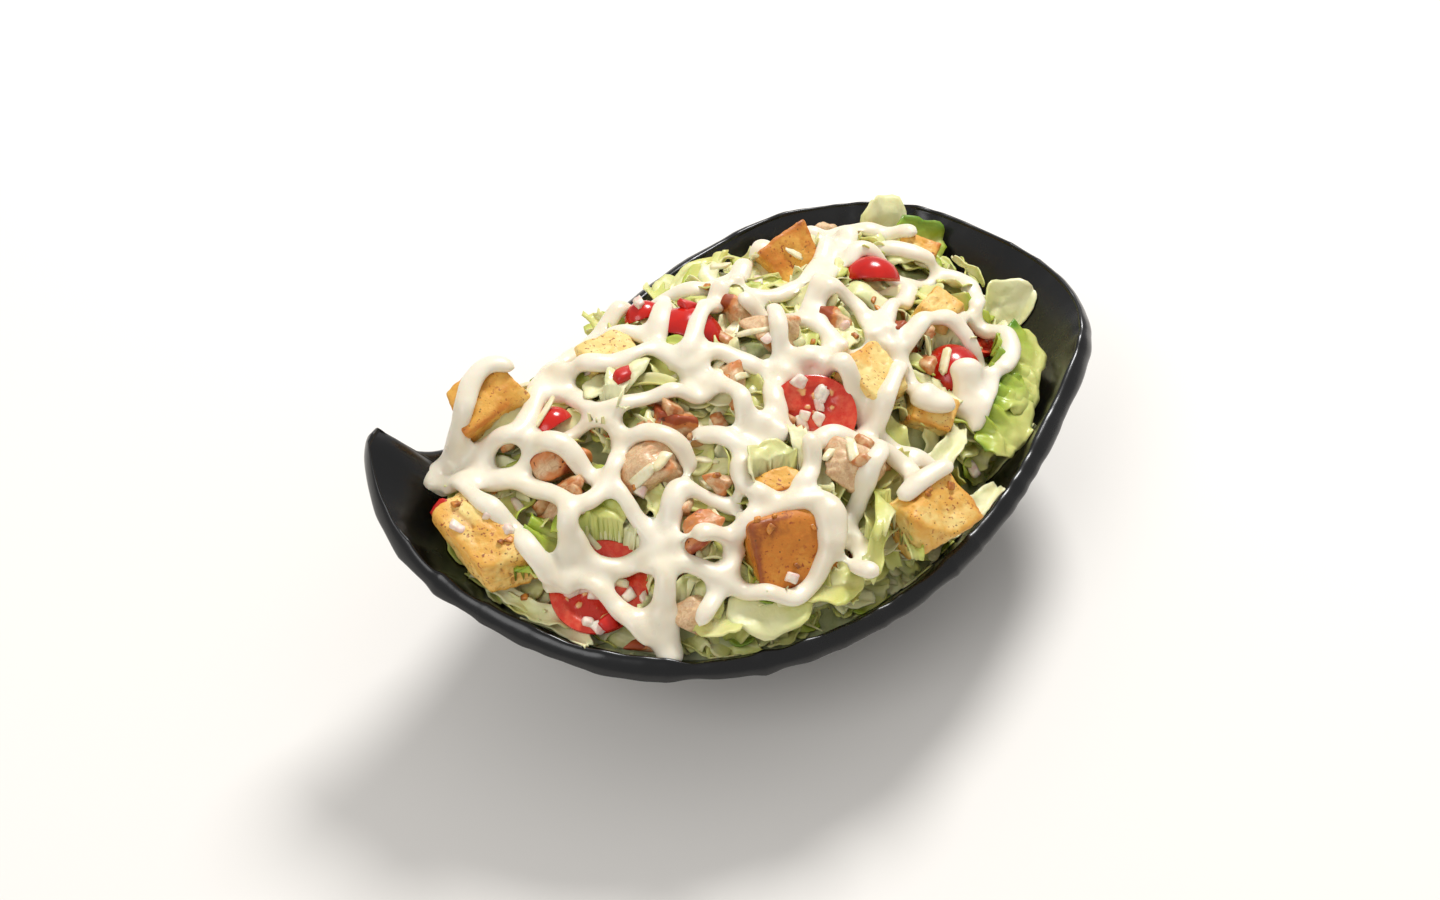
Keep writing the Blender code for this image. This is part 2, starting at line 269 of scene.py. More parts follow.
def closedCurve(points, count):
    # Centripetal Catmull-Rom curve through a closed list of points, read at even steps along it.
    points = np.asarray(points, float)
    before, after, last = (np.roll(points, shift, 0) for shift in (1, -1, -2))
    stretches = []
    for p0, p1, p2, p3 in zip(before, points, after, last):
        knots = np.cumsum([0.0] + [math.dist(a[:2], b[:2]) ** 0.5 for a, b in ((p0, p1), (p1, p2), (p2, p3))])
        t = np.linspace(knots[1], knots[2], 60, endpoint=False)[:, None]

        def blend(a, b, start, end):
            return ((knots[end] - t) * a + (t - knots[start]) * b) / (knots[end] - knots[start])

        a1, a2, a3 = blend(p0, p1, 0, 1), blend(p1, p2, 1, 2), blend(p2, p3, 2, 3)
        stretches.append(blend(blend(a1, a2, 0, 2), blend(a2, a3, 1, 3), 1, 2))
    dense = np.vstack(stretches)
    dense = np.vstack([dense, dense[:1]])
    length = np.concatenate([[0], np.cumsum(np.linalg.norm(np.diff(dense[:, :2], axis=0), axis=1))])
    steps = np.linspace(0, length[-1], count, endpoint=False)
    return np.column_stack([np.interp(steps, length, column) for column in dense.T])


def rimHeight(outline):
    # Level sides, with an exponential sweep up to the tip and a rounder one to the corner.
    toTip = np.linalg.norm(outline - bowl["tip"], axis=-1)
    toCorner = np.linalg.norm(outline - bowl["corner"], axis=-1)
    rise = bowl["tipRise"] * np.exp(-toTip / bowl["tipReach"])
    return bowl["sideHeight"] + rise + bowl["cornerRise"] * np.exp(-((toCorner / bowl["cornerReach"]) ** 1.5))


def softened(outline, share, softness, aboutOrigin=False):
    # The outline made smaller and rounder: wave number n of the loop fades by exp(-softness (n - 1)).
    waves = np.fft.fft(outline[:, 0] + 1j * outline[:, 1])
    number = np.abs(np.fft.fftfreq(len(outline), 1 / len(outline)))
    fade = share * np.exp(-softness * np.maximum(number - 1, 0))
    fade[0] = fade[0] if aboutOrigin else 1
    loop = np.fft.ifft(waves * fade)
    return np.column_stack([loop.real, loop.imag])


class Wall:
    # The bowl's outer surface as rings: level 0 is the rim and 1 the edge of the foot.
    def __init__(self, stations):
        self.rim = closedCurve(bowl["rimPoints"], stations)
        self.height = rimHeight(self.rim[:, :2])
        shares = np.linspace(0, 1, 41)
        outline, drawIn = self.rim[:, :2], 1 - bowl["footShare"]
        self.stack = np.array([softened(outline, 1 - drawIn * s, bowl["footSoftness"] * s) for s in shares])

    def ring(self, level):
        level = np.broadcast_to(level, len(self.rim))
        low = np.minimum((level * 40).astype(int), 39)
        part = (level * 40 - low)[:, None]
        station = np.arange(len(self.rim))
        flat = self.stack[low, station] * (1 - part) + self.stack[low + 1, station] * part
        return np.column_stack([flat, self.height * (1 - level) ** bowl["wallCurve"]])

    def facingIn(self, level):
        # Unit normals from the ring's own direction and the slope of the wall, turned inwards.
        level = np.broadcast_to(level, len(self.rim))
        upper, lower = self.ring(np.maximum(level - 0.03, 0)), self.ring(np.minimum(level + 0.03, 1))
        here = self.ring(level)
        normal = np.cross(np.roll(here, -1, 0) - np.roll(here, 1, 0), upper - lower)
        normal /= np.linalg.norm(normal, axis=1, keepdims=True)
        return normal * np.sign(normal[:, 2].sum())

    def inner(self, level, offset):
        ring = self.ring(level) + self.facingIn(level) * offset
        ring[:, 2] = np.maximum(ring[:, 2], offset)
        return ring


def makeBowl(wall):
    # Up the outside from the foot, over a dented bead, and down the inside to the floor.
    count = len(wall.rim)
    thick = bowl["wall"]
    foot, floor = wall.ring(1.0), wall.inner(1.0, thick)
    middle = foot.mean(0)
    levels = 1 - np.cos(np.linspace(0, math.pi / 2, 22))
    levels = np.sort(np.concatenate([levels[1:-1], [0.0, 0.012, 0.03, 0.06, 0.97, 1.0]]))
    along = np.arange(count) / count * 2 * math.pi
    circle = np.column_stack([np.cos(along), np.sin(along), along * 0]) * 100
    # dents are flats between soft knuckles, longer than they are wide
    dents = -np.abs(cloud(circle, bowl["dentLength"], 4)) * 1.2
    dents = dents + 0.5 * cloud(circle, bowl["dentLength"] * 0.45, 9)
    dents = (dents * bowl["dent"])[:, None]

    def bulge(level):
        return bowl["beadBulge"] * np.exp(-((level / bowl["beadReach"]) ** 2))

    rings = [middle + (foot - middle) * share for share in (0.1, 0.4, 0.7, 0.9)]
    for level in levels[::-1]:
        relief = bulge(level) + dents * math.exp(-level / bowl["dentReach"])
        ring = wall.ring(level) - wall.facingIn(level) * relief
        ring[:, 2] = np.maximum(ring[:, 2], 0)
        rings.append(ring)
    outer = rings[-1]
    inner = wall.inner(0.0, thick) + wall.facingIn(0.0) * (bulge(0.0) + dents)
    for angle in np.radians(np.arange(15, 180, 15)):
        side = (outer + inner) / 2 + (outer - inner) / 2 * math.cos(angle)
        top = (bowl["beadHeight"] + dents[:, 0] * 0.8) * math.sin(angle)
        rings.append(side + np.column_stack([top * 0, top * 0, top]))
    for level in levels:
        relief = bulge(level) + dents * math.exp(-level / bowl["dentReach"])
        rings.append(wall.inner(level, thick) + wall.facingIn(level) * relief)
    middleUp = np.array([*middle[:2], thick])
    rings += [middleUp + (floor - middleUp) * share for share in (0.9, 0.7, 0.4, 0.1)]
    points, faces = closedStack(rings, middle, middleUp)
    return finished(addMesh("bowl_shell", points, faces, melamine()), "bowl", "bowl")


def melamine():
    # Black glaze: a faint orange-peel bump, soft smears of gloss, and painted sheen where the same smears
    # lighten the colour.
    look = Finish("black melamine", 0.2, Specular_IOR_Level=0.5)
    glossAndPaintedSheen = look.noise(28, 3.0, 0.6)
    fine = look.noise(1.6, 2.0)
    # painted sheen: the black colour is lifted a little where the gloss smears are
    tone = look.mix(glossAndPaintedSheen.band(0.35, 0.75), srgb(8, 8, 9), srgb(15, 14, 14))
    peel = look.noise(5.0, 1.0) * 0.8 + fine * 0.2
    return look.paint(tone, glossAndPaintedSheen * 0.22 + fine * 0.05 + 0.12, peel, 0.35, 0.25)


heap = {
    "gap": 0.35, "crown": (-4.0, -2.0), "crownHeight": 77.0, "crownPower": 2.3,
    "lumps": ((36.0, 3.0), (15.0, 1.6)), "sink": 6.0, "edgeDrop": 0.1, "rings": 70,
}


def heapTop(wall):
    # Rings from the wall to the crown: each is the heap's edge drawn in and rounded, on a crowned height.
    edgeLevel = 1 - (1 - wall.rim[:, 2] / wall.height) ** (1 / bowl["wallCurve"])
    edge = wall.inner(edgeLevel, bowl["wall"] + heap["gap"])
    low = edge.copy()
    edge[:, 2] += wall.rim[:, 3]
    rings = []
    for share in np.linspace(1, 0.02, heap["rings"]):
        flat = np.array(heap["crown"]) + softened(edge[:, :2] - heap["crown"], share, 1 - share, True)
        height = edge[:, 2] + (heap["crownHeight"] - edge[:, 2]) * (1 - share ** heap["crownPower"])
        rings.append(np.column_stack([flat, height]))
    return low, rings


def makeCore(wall):
    # A smaller core a few millimetres under the heap's top, with leafy folds in it, over the bowl's wall.
    low, rings = heapTop(wall)
    keep = slice(None, None, 3)
    edgeLevel = 1 - (1 - wall.rim[:, 2] / wall.height) ** (1 / bowl["wallCurve"])
    offset = bowl["wall"] + heap["gap"]
    floor = wall.inner(1.0, offset)
    middle = np.array([*floor.mean(0)[:2], offset])
    stack = [(middle + (floor - middle) * share)[keep] for share in (0.3, 0.7)]
    lowered = np.minimum(edgeLevel + heap["edgeDrop"], 0.95)
    stack += [wall.inner(1 - (1 - lowered) * share, offset)[keep] for share in np.linspace(0, 1, 8)]
    edgeHeight = stack[-1][:, 2]
    for number, ring in enumerate(rings):
        sunk = ring[keep].copy()
        fold = 1.8 * np.abs(cloud(sunk, 9.0, 3)) + 0.8 * cloud(sunk, 3.5, 5)
        sunk[:, 2] += fold * 1.3 - heap["sink"]
        blend = min(1, number / 9)
        sunk[:, 2] = np.maximum(edgeHeight, sunk[:, 2] * blend + edgeHeight * (1 - blend))
        stack.append(sunk)
    crown = np.array([*heap["crown"], heap["crownHeight"] - heap["sink"] + 1])
    points, faces = closedStack(stack, middle, crown)
    # its finish is a darker copy of the lettuce's, with painted shade
    core = addMesh("salad_core", points, faces, leafFinish("packed leaves in painted shade", 0.55))
    return finished(core, "leaves", "salad_heap")


def leafFinish(name, paintedShadeDepth=1.0):
    # Lettuce: pale ribs to green edges by the stored "green" value, wet patches and fine crinkles; a
    # value under 1 for the second argument gives a darker copy with painted shade, for the packed leaves
    # below.
    look = Finish(name, 0.35, Subsurface_Weight=0.12, Subsurface_Scale=0.002)
    green = look.stored("green")
    patch = look.noise(7.0, 3.0, 0.4)
    tone = look.mix(green.band(0.0, 0.4), srgb(236, 230, 184), srgb(212, 210, 122))
    tone = look.mix(green.band(0.36, 0.7), tone, srgb(168, 186, 58))
    tone = look.mix(green.band(0.66, 0.95), tone, srgb(96, 142, 30))
    # painted shade: for the packed core the colour is pulled towards a darker green
    paintedShadeShare = 0.55 if paintedShadeDepth < 1 else 0.0
    shade = srgb(120, 140, 52) if paintedShadeDepth < 1 else srgb(178, 196, 92)
    tone = look.mix(patch.band(0.45, 0.8) * 0.35 + paintedShadeShare, tone, shade)
    wet = look.noise(5.0, 2.0).band(0.35, 0.7)
    crinkle = look.noise(2.2, 2.0, 0.5)
    return look.paint(tone, 0.5 - wet * 0.25, crinkle, 0.35, 0.5)


croutons = {
    "turns": ((8, 6, -62), (20, -15, 20), (40, 0, 25), (48, 0, 8), (15, 0, 5), (22, 8, 30), (20, 20, -20),
              (15, 10, 40), (30, 10, 28), (12, 0, 10), (10, 15, -30)),
    "sizes": ((34, 15, 14), (23, 18, 16), (20, 17, 12), (25, 23, 13), (18, 8, 7), (19, 18, 14), (16, 14, 12),
              (15, 14, 12), (23, 19, 15), (18, 12, 9), (13, 10, 9)),
    # how browned each one is; the spice specks are the same on all
    "brown": (0.5, 0.5, 0.75, 0.82, 0.6, 0.15, 0.45, 0.3, 0.5, 0.1, 0.6),
    # 1 where the upper side is smooth crust, 0 for open crumb all round
    "crust": (0.2, 0.8, 0.5, 1.0, 0.5, 0.3, 0.4, 0.2, 0.1, 0.6, 0.4),
    "rows": 76, "columns": 112, "sharpness": 15.0,
}


def ballDirections(rows, columns):
    # Unit directions of a sphere in rings, without its two poles.
    up = math.pi * (np.arange(rows) + 0.5) / rows
    around = 2 * math.pi * np.arange(columns) / columns
    flat = np.sin(up)[:, None]
    height = -np.cos(up)[:, None] + around * 0
    return np.stack([flat * np.cos(around), flat * np.sin(around), height], -1).reshape(-1, 3)


def softBlock(size, rows, columns, planes, distances, sharpness):
    # Soft polyhedron: along each direction, 1 / reach^n is the sum of (direction . plane / distance)^n
    # over the planes it faces. The result is stretched to the size asked for; its poles are at its ends.
    ways = np.vstack([[0, 0, -1.0], ballDirections(rows, columns), [0, 0, 1.0]])[:, [2, 0, 1]]
    facing = np.maximum(ways @ planes.T / distances, 0)
    points = ways * ((facing**sharpness).sum(1) ** (-1 / sharpness))[:, None]
    points *= np.asarray(size, float) / (points.max(0) - points.min(0))
    loops = [points[1 + row * columns: 1 + (row + 1) * columns] for row in range(rows)]
    return points, closedStack(loops, points[:1], points[-1:])[1], ways


def swollen(points, relief):
    # Moves each point away from the middle by its relief in millimetres.
    return points * (1 + relief / np.maximum(np.linalg.norm(points, axis=1), 0.1))[:, None]


def settle(points, degrees, node):
    # Turns a shape and puts the middle of its box where the middle of its CAD node's box is.
    points = turned(points, degrees)
    low, high = (np.array(corner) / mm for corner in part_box(node))
    return points + (low + high) / 2 - (points.min(0) + points.max(0)) / 2


def makeCroutons():
    # Torn cubes of bread: six leaning sides and two cut corners, open pores in the crumb, browned most
    # along the edges and over the crust side.
    finish = breadFinish()
    c = croutons
    sides = np.vstack([np.eye(3), -np.eye(3)])
    for number, (turn, size, brown) in enumerate(zip(c["turns"], c["sizes"], c["brown"]), 1):
        node = f"crouton_{number:02d}"
        own = np.random.default_rng(100 + number)
        leaning = sides + own.normal(0, 0.09, (6, 3))
        planes = np.vstack([leaning, own.choice((-1, 1), (3, 3)) * own.uniform(0.4, 1, (3, 3))])
        planes /= np.linalg.norm(planes, axis=1, keepdims=True)
        distances = np.concatenate([np.ones(6), own.uniform(1.12, 1.3, 3)])
        points, faces, ways = softBlock(size, c["rows"], c["columns"], planes, distances, c["sharpness"])
        place = points + number * 40.0
        crust = np.clip(ways[:, 2] * 1.6 + 0.1 + 0.5 * cloud(place, 12.0, 16), 0, 1) * c["crust"][number - 1]
        pores = np.clip(cloud(place, 2.3, 14) * 1.5 - 0.45, 0, 1) * (1 - 0.85 * crust)
        crumb = 0.42 * cloud(place, 2.9, 12) + 0.3 * cloud(place, 1.3, 13)
        rough = 0.55 * cloud(place, 7.0, 11) + (1 - 0.6 * crust) * crumb
        edge = np.sort(np.abs(points / (np.asarray(size) / 2)), axis=1)[:, 1]
        toast = brown * (0.5 + 0.5 * crust) + 0.22 * cloud(place, 6.0, 15)
        toast = toast + 0.35 * np.clip(edge - 0.72, 0, 1) / 0.28
        shape = settle(swollen(points, rough - pores * 1.0), turn, node)
        # the pore mask is also stored for the painted shade in the pores
        values = {"toast": np.clip(toast, 0, 1), "paintedPoreShade": pores}
        finished(addMesh(f"{node}_toast", shape, faces, finish, values=values), "toast", node)


def breadFinish():
    # Cream crumb to golden and browned crust, oily, with paprika and herb specks, and painted shade darkening
    # the open pores.
    look = Finish("toasted bread", 0.55, Subsurface_Weight=0.1, Subsurface_Scale=0.0015)
    toast = look.stored("toast") + (look.noise(2.4, 4.0) - 0.5) * 0.45
    tone = look.mix(toast.band(0.1, 0.42), srgb(238, 208, 128), srgb(226, 168, 70))
    tone = look.mix(toast.band(0.42, 0.75), tone, srgb(205, 124, 36))
    tone = look.mix(toast.band(0.78, 1.05), tone, srgb(150, 74, 20))
    # painted shade: the crumb is darkened towards brown where the pores sink in
    tone = look.mix(look.stored("paintedPoreShade").band(0.1, 0.7) * 0.45, tone, srgb(176, 104, 34))
    spice = look.noise(1.1, 1.0).band(0.6, 0.7) * look.noise(6.0, 1.0).band(0.35, 0.6)
    tone = look.mix(spice * 0.85, tone, srgb(150, 62, 20))
    herb = look.cells(2.6)
    tone = look.mix((1 - herb.band(0.08, 0.13)) * 0.75, tone, srgb(96, 70, 26))
    crumb = look.noise(0.9, 3.0) * 0.6 + look.noise(3.0, 2.0) * 0.4
    return look.paint(tone, 0.62 - look.noise(4.0).band(0.4, 0.7) * 0.22, crumb, 0.6, 0.5)


chickens = {
    "turns": ((12, -6, 16), (10, 15, -30), (15, 10, 60), (20, -10, 15), (25, -15, -20), (10, 0, 40),
              (22, 8, -10),
              (20, 0, 10), (15, 10, 30), (20, 0, -15), (10, 0, -20), (10, 15, 30), (0, 10, 10), (5, 10, -10),
              (0, 10, 15), (10, 0, 0), (10, 10, 50), (10, 0, -10), (20, 10, -10), (0, 20, 0)),
    "sizes": ((24, 17, 13), (14, 13, 12), (14, 14, 12), (17, 12, 11), (14, 12, 11), (12, 10, 9), (19, 17, 14),
              (14, 11, 10), (8, 8, 8), (14, 10, 9), (12, 5, 5), (15, 13, 12), (9, 11, 10), (17, 14, 11),
              (11, 9, 8), (9, 8, 8), (10, 8, 8), (9, 7, 7), (6, 14, 6), (12, 8, 7)),
    # how seared each chunk is
    "sear": (0.45, 0.75, 0.5, 0.6, 0.85, 0.6, 0.3, 0.5, 0.7, 0.35, 0.6, 0.85, 0.65, 0.45, 0.3, 0.4, 0.4,
             0.5, 0.95, 0.8),
    "planes": 10, "rows": 60, "columns": 84, "sharpness": 13.0,
}


def makeChicken():
    # Knife-cut chunks: a soft polyhedron of a dozen uneven planes, with lumps and the meat's grain.
    finish = chickenFinish()
    c = chickens
    spread = np.arange(c["planes"]) + 0.5
    up = 1 - 2 * spread / c["planes"]
    around = spread * math.pi * (3 - math.sqrt(5))
    spiral = np.column_stack([np.sqrt(1 - up**2) * np.cos(around), np.sqrt(1 - up**2) * np.sin(around), up])
    for number, (turn, size, sear) in enumerate(zip(c["turns"], c["sizes"], c["sear"]), 1):
        node = f"chicken_{number:02d}"
        own = np.random.default_rng(200 + number)
        planes = turned(spiral + own.normal(0, 0.25, spiral.shape), own.uniform(0, 360, 3))
        planes /= np.linalg.norm(planes, axis=1, keepdims=True)
        distances = own.uniform(0.72, 1.12, len(planes))
        points, faces, ways = softBlock(size, c["rows"], c["columns"], planes, distances, c["sharpness"])
        place = points + number * 31.0
        grain = cloud(place * (0.3, 1.5, 1.0), 1.9, 21)
        shape = swollen(points, 0.6 * cloud(place, 5.0, 22) + 0.45 * cloud(place, 2.4, 23) + 0.45 * grain)
        edge = np.clip((np.linalg.norm(points / np.asarray(size), axis=1) - 0.44) / 0.14, 0, 1)
        browned = sear * (0.3 + 0.8 * np.clip(0.35 + 1.1 * cloud(place, 7.0, 24), 0, 1) + 0.75 * edge)
        values = {"sear": np.clip(browned, 0, 1)}
        piece = addMesh(f"{node}_meat", settle(shape, turn, node), faces, finish, values=values)
        finished(piece, "chicken", node)


def chickenFinish():
    # Pale pinkish-beige flesh with grain, orange marinade and brown sear at the edges.
    look = Finish("grilled chicken", 0.42, Subsurface_Weight=0.16, Subsurface_Scale=0.002)
    sear = look.stored("sear") + (look.noise(2.6, 3.0, 0.5) - 0.5) * 0.5
    fibre = look.noise(1.4, 3.0, 1.2)
    tone = look.mix(fibre.band(0.3, 0.7), srgb(228, 196, 152), srgb(204, 162, 120))
    tone = look.mix(sear.band(0.34, 0.58) * 0.9, tone, srgb(206, 122, 54))
    tone = look.mix(sear.band(0.66, 0.85), tone, srgb(158, 70, 28))
    tone = look.mix(look.noise(1.5, 1.0).band(0.66, 0.74) * sear.band(0.35, 0.6), tone, srgb(92, 44, 22))
    shine = look.noise(4.5, 2.0).band(0.4, 0.65)
    return look.paint(tone, 0.55 - shine * 0.25, fibre * 0.7 + look.noise(4.0) * 0.3, 0.4, 0.45)


tomatoes = {
    "turns": ((24, -8, 20), (200, 10, -30), (205, 0, 10), (200, 0, -15), (215, 0, 75), (20, 10, 70),
              (38, 4, -15), (200, 0, 25)),
    "radii": (12.8, 10.0, 5.5, 8.0, 9.5, 5.5, 11.5, 6.0),
    "arcs": (180, 110, 110, 110, 180, 180, 180, 110),
    "length": 1.12, "stations": 60, "faceSteps": 22, "skinSteps": 40,
}


def makeTomatoes():
    # Pie-slice sections carried along the tomato's length: out over one cut face, round the skin and
    # back over the other. The cut faces have a raised wall and sunk pockets with seeds.
    finish = tomatoFinish()
    t = tomatoes
    for number, (turn, radius, arc) in enumerate(zip(t["turns"], t["radii"], t["arcs"]), 1):
        node = f"tomato_{number:02d}"
        along = np.cos(math.pi * (np.arange(t["stations"]) + 0.5) / t["stations"])[::-1]
        out = np.linspace(0, 1, t["faceSteps"], endpoint=False)
        angle = np.linspace(0, 1, t["skinSteps"])
        share = np.concatenate([out, np.ones(t["skinSteps"]), out[:0:-1]])
        phi = math.pi + math.radians(arc) * np.concatenate([out * 0, angle, out[:0:-1] * 0 + 1])
        cut = np.concatenate([out * 0 + 1, angle * 0, out[:0:-1] * 0 + 1])
        x = along[:, None] * radius * t["length"] + share * 0
        size = np.sqrt(1 - along**2)[:, None] * radius
        y, z = size * share * np.cos(phi), size * share * np.sin(phi)
        points = np.stack([x, y, z], -1).reshape(-1, 3)
        # distance from the middle of the cut face, 1 at the skin
        face = np.sqrt((along[:, None]) ** 2 + (share * np.sqrt(1 - along**2)[:, None]) ** 2).reshape(-1)
        isCut = np.tile(cut, t["stations"])
        place = points + number * 23.0
        pocket = np.clip(cloud(place, radius * 0.42, 31) * 1.6 + 0.55, 0, 1)
        pocket = isCut * pocket * np.clip((0.8 - face) * 8, 0, 1)
        seeds = np.clip(cloud(place, 1.7, 32) * 2.6 - 0.75, 0, 1) * pocket
        inward = np.stack([points[:, 0] * 0, -np.cos(np.tile(phi, t["stations"]) + math.pi / 2),
                           -np.sin(np.tile(phi, t["stations"]) + math.pi / 2)], -1)
        inward[np.tile(np.arange(len(share)) >= t["faceSteps"] + t["skinSteps"], t["stations"])] *= -1
        relief = pocket * 0.9 - seeds * 0.9 + isCut * 0.12 * cloud(place, 2.5, 33)
        points -= inward * relief[:, None]
        points *= 1 + 0.012 * cloud(place, 8.0, 34)[:, None]
        loops = points.reshape(t["stations"], -1, 3)
        ends = [np.array([[side * radius * t["length"], 0, 0]]) for side in (-1, 1)]
        whole, faces = closedStack([loop[::-1] for loop in loops], ends[0], ends[1])
        values = {}
        for label, numbers in (("cut", isCut), ("pocket", pocket), ("seed", seeds)):
            inOrder = numbers.reshape(t["stations"], -1)[:, ::-1].reshape(-1)
            values[label] = np.concatenate([[0], inOrder, [0]])
        piece = addMesh(f"{node}_flesh", settle(whole, turn, node), faces, finish, values=values)
        fixFacing(piece)
        finished(piece, "tomato", node)


def fixFacing(piece):
    # Makes every face of a closed piece point outwards.
    built = bmesh.new()
    built.from_mesh(piece.data)
    bmesh.ops.remove_doubles(built, verts=built.verts, dist=1e-7)
    bmesh.ops.recalc_face_normals(built, faces=built.faces)
    built.to_mesh(piece.data)
    built.free()


def tomatoFinish():
    # Glossy red skin; wet paler flesh, orange-red pockets and pale seeds on the cut faces.
    look = Finish("tomato", 0.2, Subsurface_Weight=0.15, Subsurface_Scale=0.002)
    cut, pocket, seed = look.stored("cut"), look.stored("pocket"), look.stored("seed")
    skin = look.mix(look.noise(7.0, 2.0).band(0.3, 0.7), srgb(206, 30, 16), srgb(182, 18, 10))
    flesh = look.mix(look.noise(2.2, 3.0).band(0.35, 0.7), srgb(214, 56, 34), srgb(226, 92, 62))
    flesh = look.mix(pocket.band(0.2, 0.8) * 0.8, flesh, srgb(196, 34, 14))
    flesh = look.mix(seed.band(0.2, 0.6) * 0.85, flesh, srgb(236, 186, 120))
    tone = look.mix(cut.band(0.4, 0.6), skin, flesh)
    rough = 0.16 + cut * 0.1 + look.noise(3.5).band(0.4, 0.7) * 0.1
    return look.paint(tone, rough, look.noise(1.6, 2.0) * cut, 0.3, 0.3)


def treeOf(objects):
    # One searchable surface from several finished objects, in metres.
    points, faces, start = [], [], 0
    for item in objects:
        mesh = item.data
        some = np.empty(len(mesh.vertices) * 3)
        mesh.vertices.foreach_get("co", some)
        points += some.reshape(-1, 3).tolist()
        faces += [[corner + start for corner in face.vertices] for face in mesh.polygons]
        start = len(points)
    return BVHTree.FromPolygons(points, faces)


def heightOver(tree, x, y, nothing=0.0):
    hit = tree.ray_cast(Vector((x * mm, y * mm, 0.3)), Vector((0, 0, -1)))
    return (hit[0].z / mm, np.array(hit[1])) if hit[0] else (nothing, np.array([0, 0, 1.0]))


lettuce = {
    # scattered kinds: how many, length and width ranges, greenness range, lift over the core
    "shreds": dict(count=250, length=(15, 32), width=(4, 8.5), green=(0.0, 0.5), lift=(0.5, 4.0)),
    "torn": dict(count=120, length=(15, 27), width=(12, 20), green=(0.05, 0.7), lift=(0.0, 3.5)),
    "edge": dict(count=150, length=(12, 22), width=(7, 13), green=(0.05, 0.75), lift=(0.0, 5.0)),
    "seed": 7, "thickness": 0.45, "tuck": 2.0, "clear": 0.7,
    # leaves laid one by one: kind, x, y, lift over the ground, length, width, greenness, turn, and tilts
    # about x and y
    "placed": (
        ("frill", 84, -9, 12, 38, 18, 0.85, 60, 28, 0),
        ("frill", 74, -27, 11, 30, 16, 0.8, 52, 28, 0),
        ("torn", 80, -17, 10, 26, 18, 0.75, 58, 20, 0),
        ("torn", 93, 25, 13, 22, 19, 0.25, 20, 50, 10),
        ("torn", 87, 38, 10, 22, 8, 0.35, 70, 60, 0),
        ("torn", 68, 67, 14, 21, 17, 0.15, 30, 58, 0),
        ("torn", 78, 59, 11, 22, 16, 0.8, 10, 40, 10),
        ("torn", 88, 40, 14, 17, 5, 0.3, 95, 75, 0),
        ("shreds", 85, 10, 9, 30, 9, 0.0, 100, 10, 25),
        ("shreds", 91, 14, 8, 24, 8, 0.05, 80, 20, 20),
        ("torn", -17, -76, 10, 27, 20, 0.3, 15, 12, 0),
        ("torn", 0, -74, 10, 26, 19, 0.38, -20, 10, 5),
        ("torn", -31, -76, 9, 20, 15, 0.28, 60, 10, 0),
        ("frill", -58, -44, 10, 22, 15, 0.72, 20, 10, 0),
        ("frill", -73, -47, 9, 22, 12, 0.78, 60, 25, 0),
        ("torn", -79, -14, 4, 13, 10, 0.6, 0, 10, 0),
        ("torn", -6, -43, 10, 17, 15, 0.3, 35, 12, 0),
        ("torn", -3, -22, 5, 17, 12, 0.55, 10, 10, 0),
        ("shreds", 22, -60, 9, 32, 6, 0.45, 75, 5, 20),
        ("shreds", 17, -66, 9, 34, 6, 0.35, 68, 5, 10),
        ("shreds", 27, -62, 8, 28, 5, 0.55, 85, 5, 10),
        ("shreds", 11, -72, 8, 24, 6, 0.3, 50, 10, 10),
        ("shreds", 50, -38, 5, 26, 7, 0.02, 40, 15, 10),
        ("shreds", 54, -54, 5, 24, 7, 0.0, 30, 20, 10),
        ("shreds", -77, -60, 9, 20, 6, 0.2, -30, 15, 5),
        ("shreds", -72, -64, 9, 20, 5, 0.12, -45, 15, 5),
        ("shreds", -82, -54, 9, 18, 5, 0.15, -50, 15, 5),
        ("shreds", -42, -8, 10, 24, 6, 0.05, 60, 5, 5),
        ("shreds", -36, -6, 10, 22, 6, 0.1, 75, 5, 5),
        ("shreds", -33, 0, 9, 20, 5, 0.15, 50, 5, 5),
        ("torn", -44, -2, 8, 16, 12, 0.12, 50, 5, 5),
        ("torn", 30, 5, 4, 18, 13, 0.3, 50, 5, 5),
        ("torn", 22, 46, 4, 17, 14, 0.2, 50, 5, 5),
        ("torn", 91, 12, 9, 22, 16, 0.3, 110, 20, 0),
        ("torn", 52, -18, 3, 20, 15, 0.15, 20, 10, 0),
        ("torn", 70, -26, 2, 22, 16, 0.3, 20, 30, 0),
    ),
}


def sheetGrid(rows, columns, lowest):
    # Even u from -1 to 1 along and v from lowest to 1 across, as two long arrays.
    u, v = np.meshgrid(np.linspace(-1, 1, rows), np.linspace(lowest, 1, columns), indexing="ij")
    return u.ravel(), v.ravel()


def creased(x, y, seed, green):
    # Crinkled height of a leaf: wide waves, blisters (the size of smooth noise) and fine wrinkles.
    place = np.column_stack([x, y, x * 0]) + seed * 17.0
    wave = cloud(place, 11.0, 41) * 2.2
    blister = np.abs(cloud(place, 4.5, 42)) * (0.7 + 1.3 * green)
    return wave + blister + 0.3 * cloud(place, 1.9, 43)


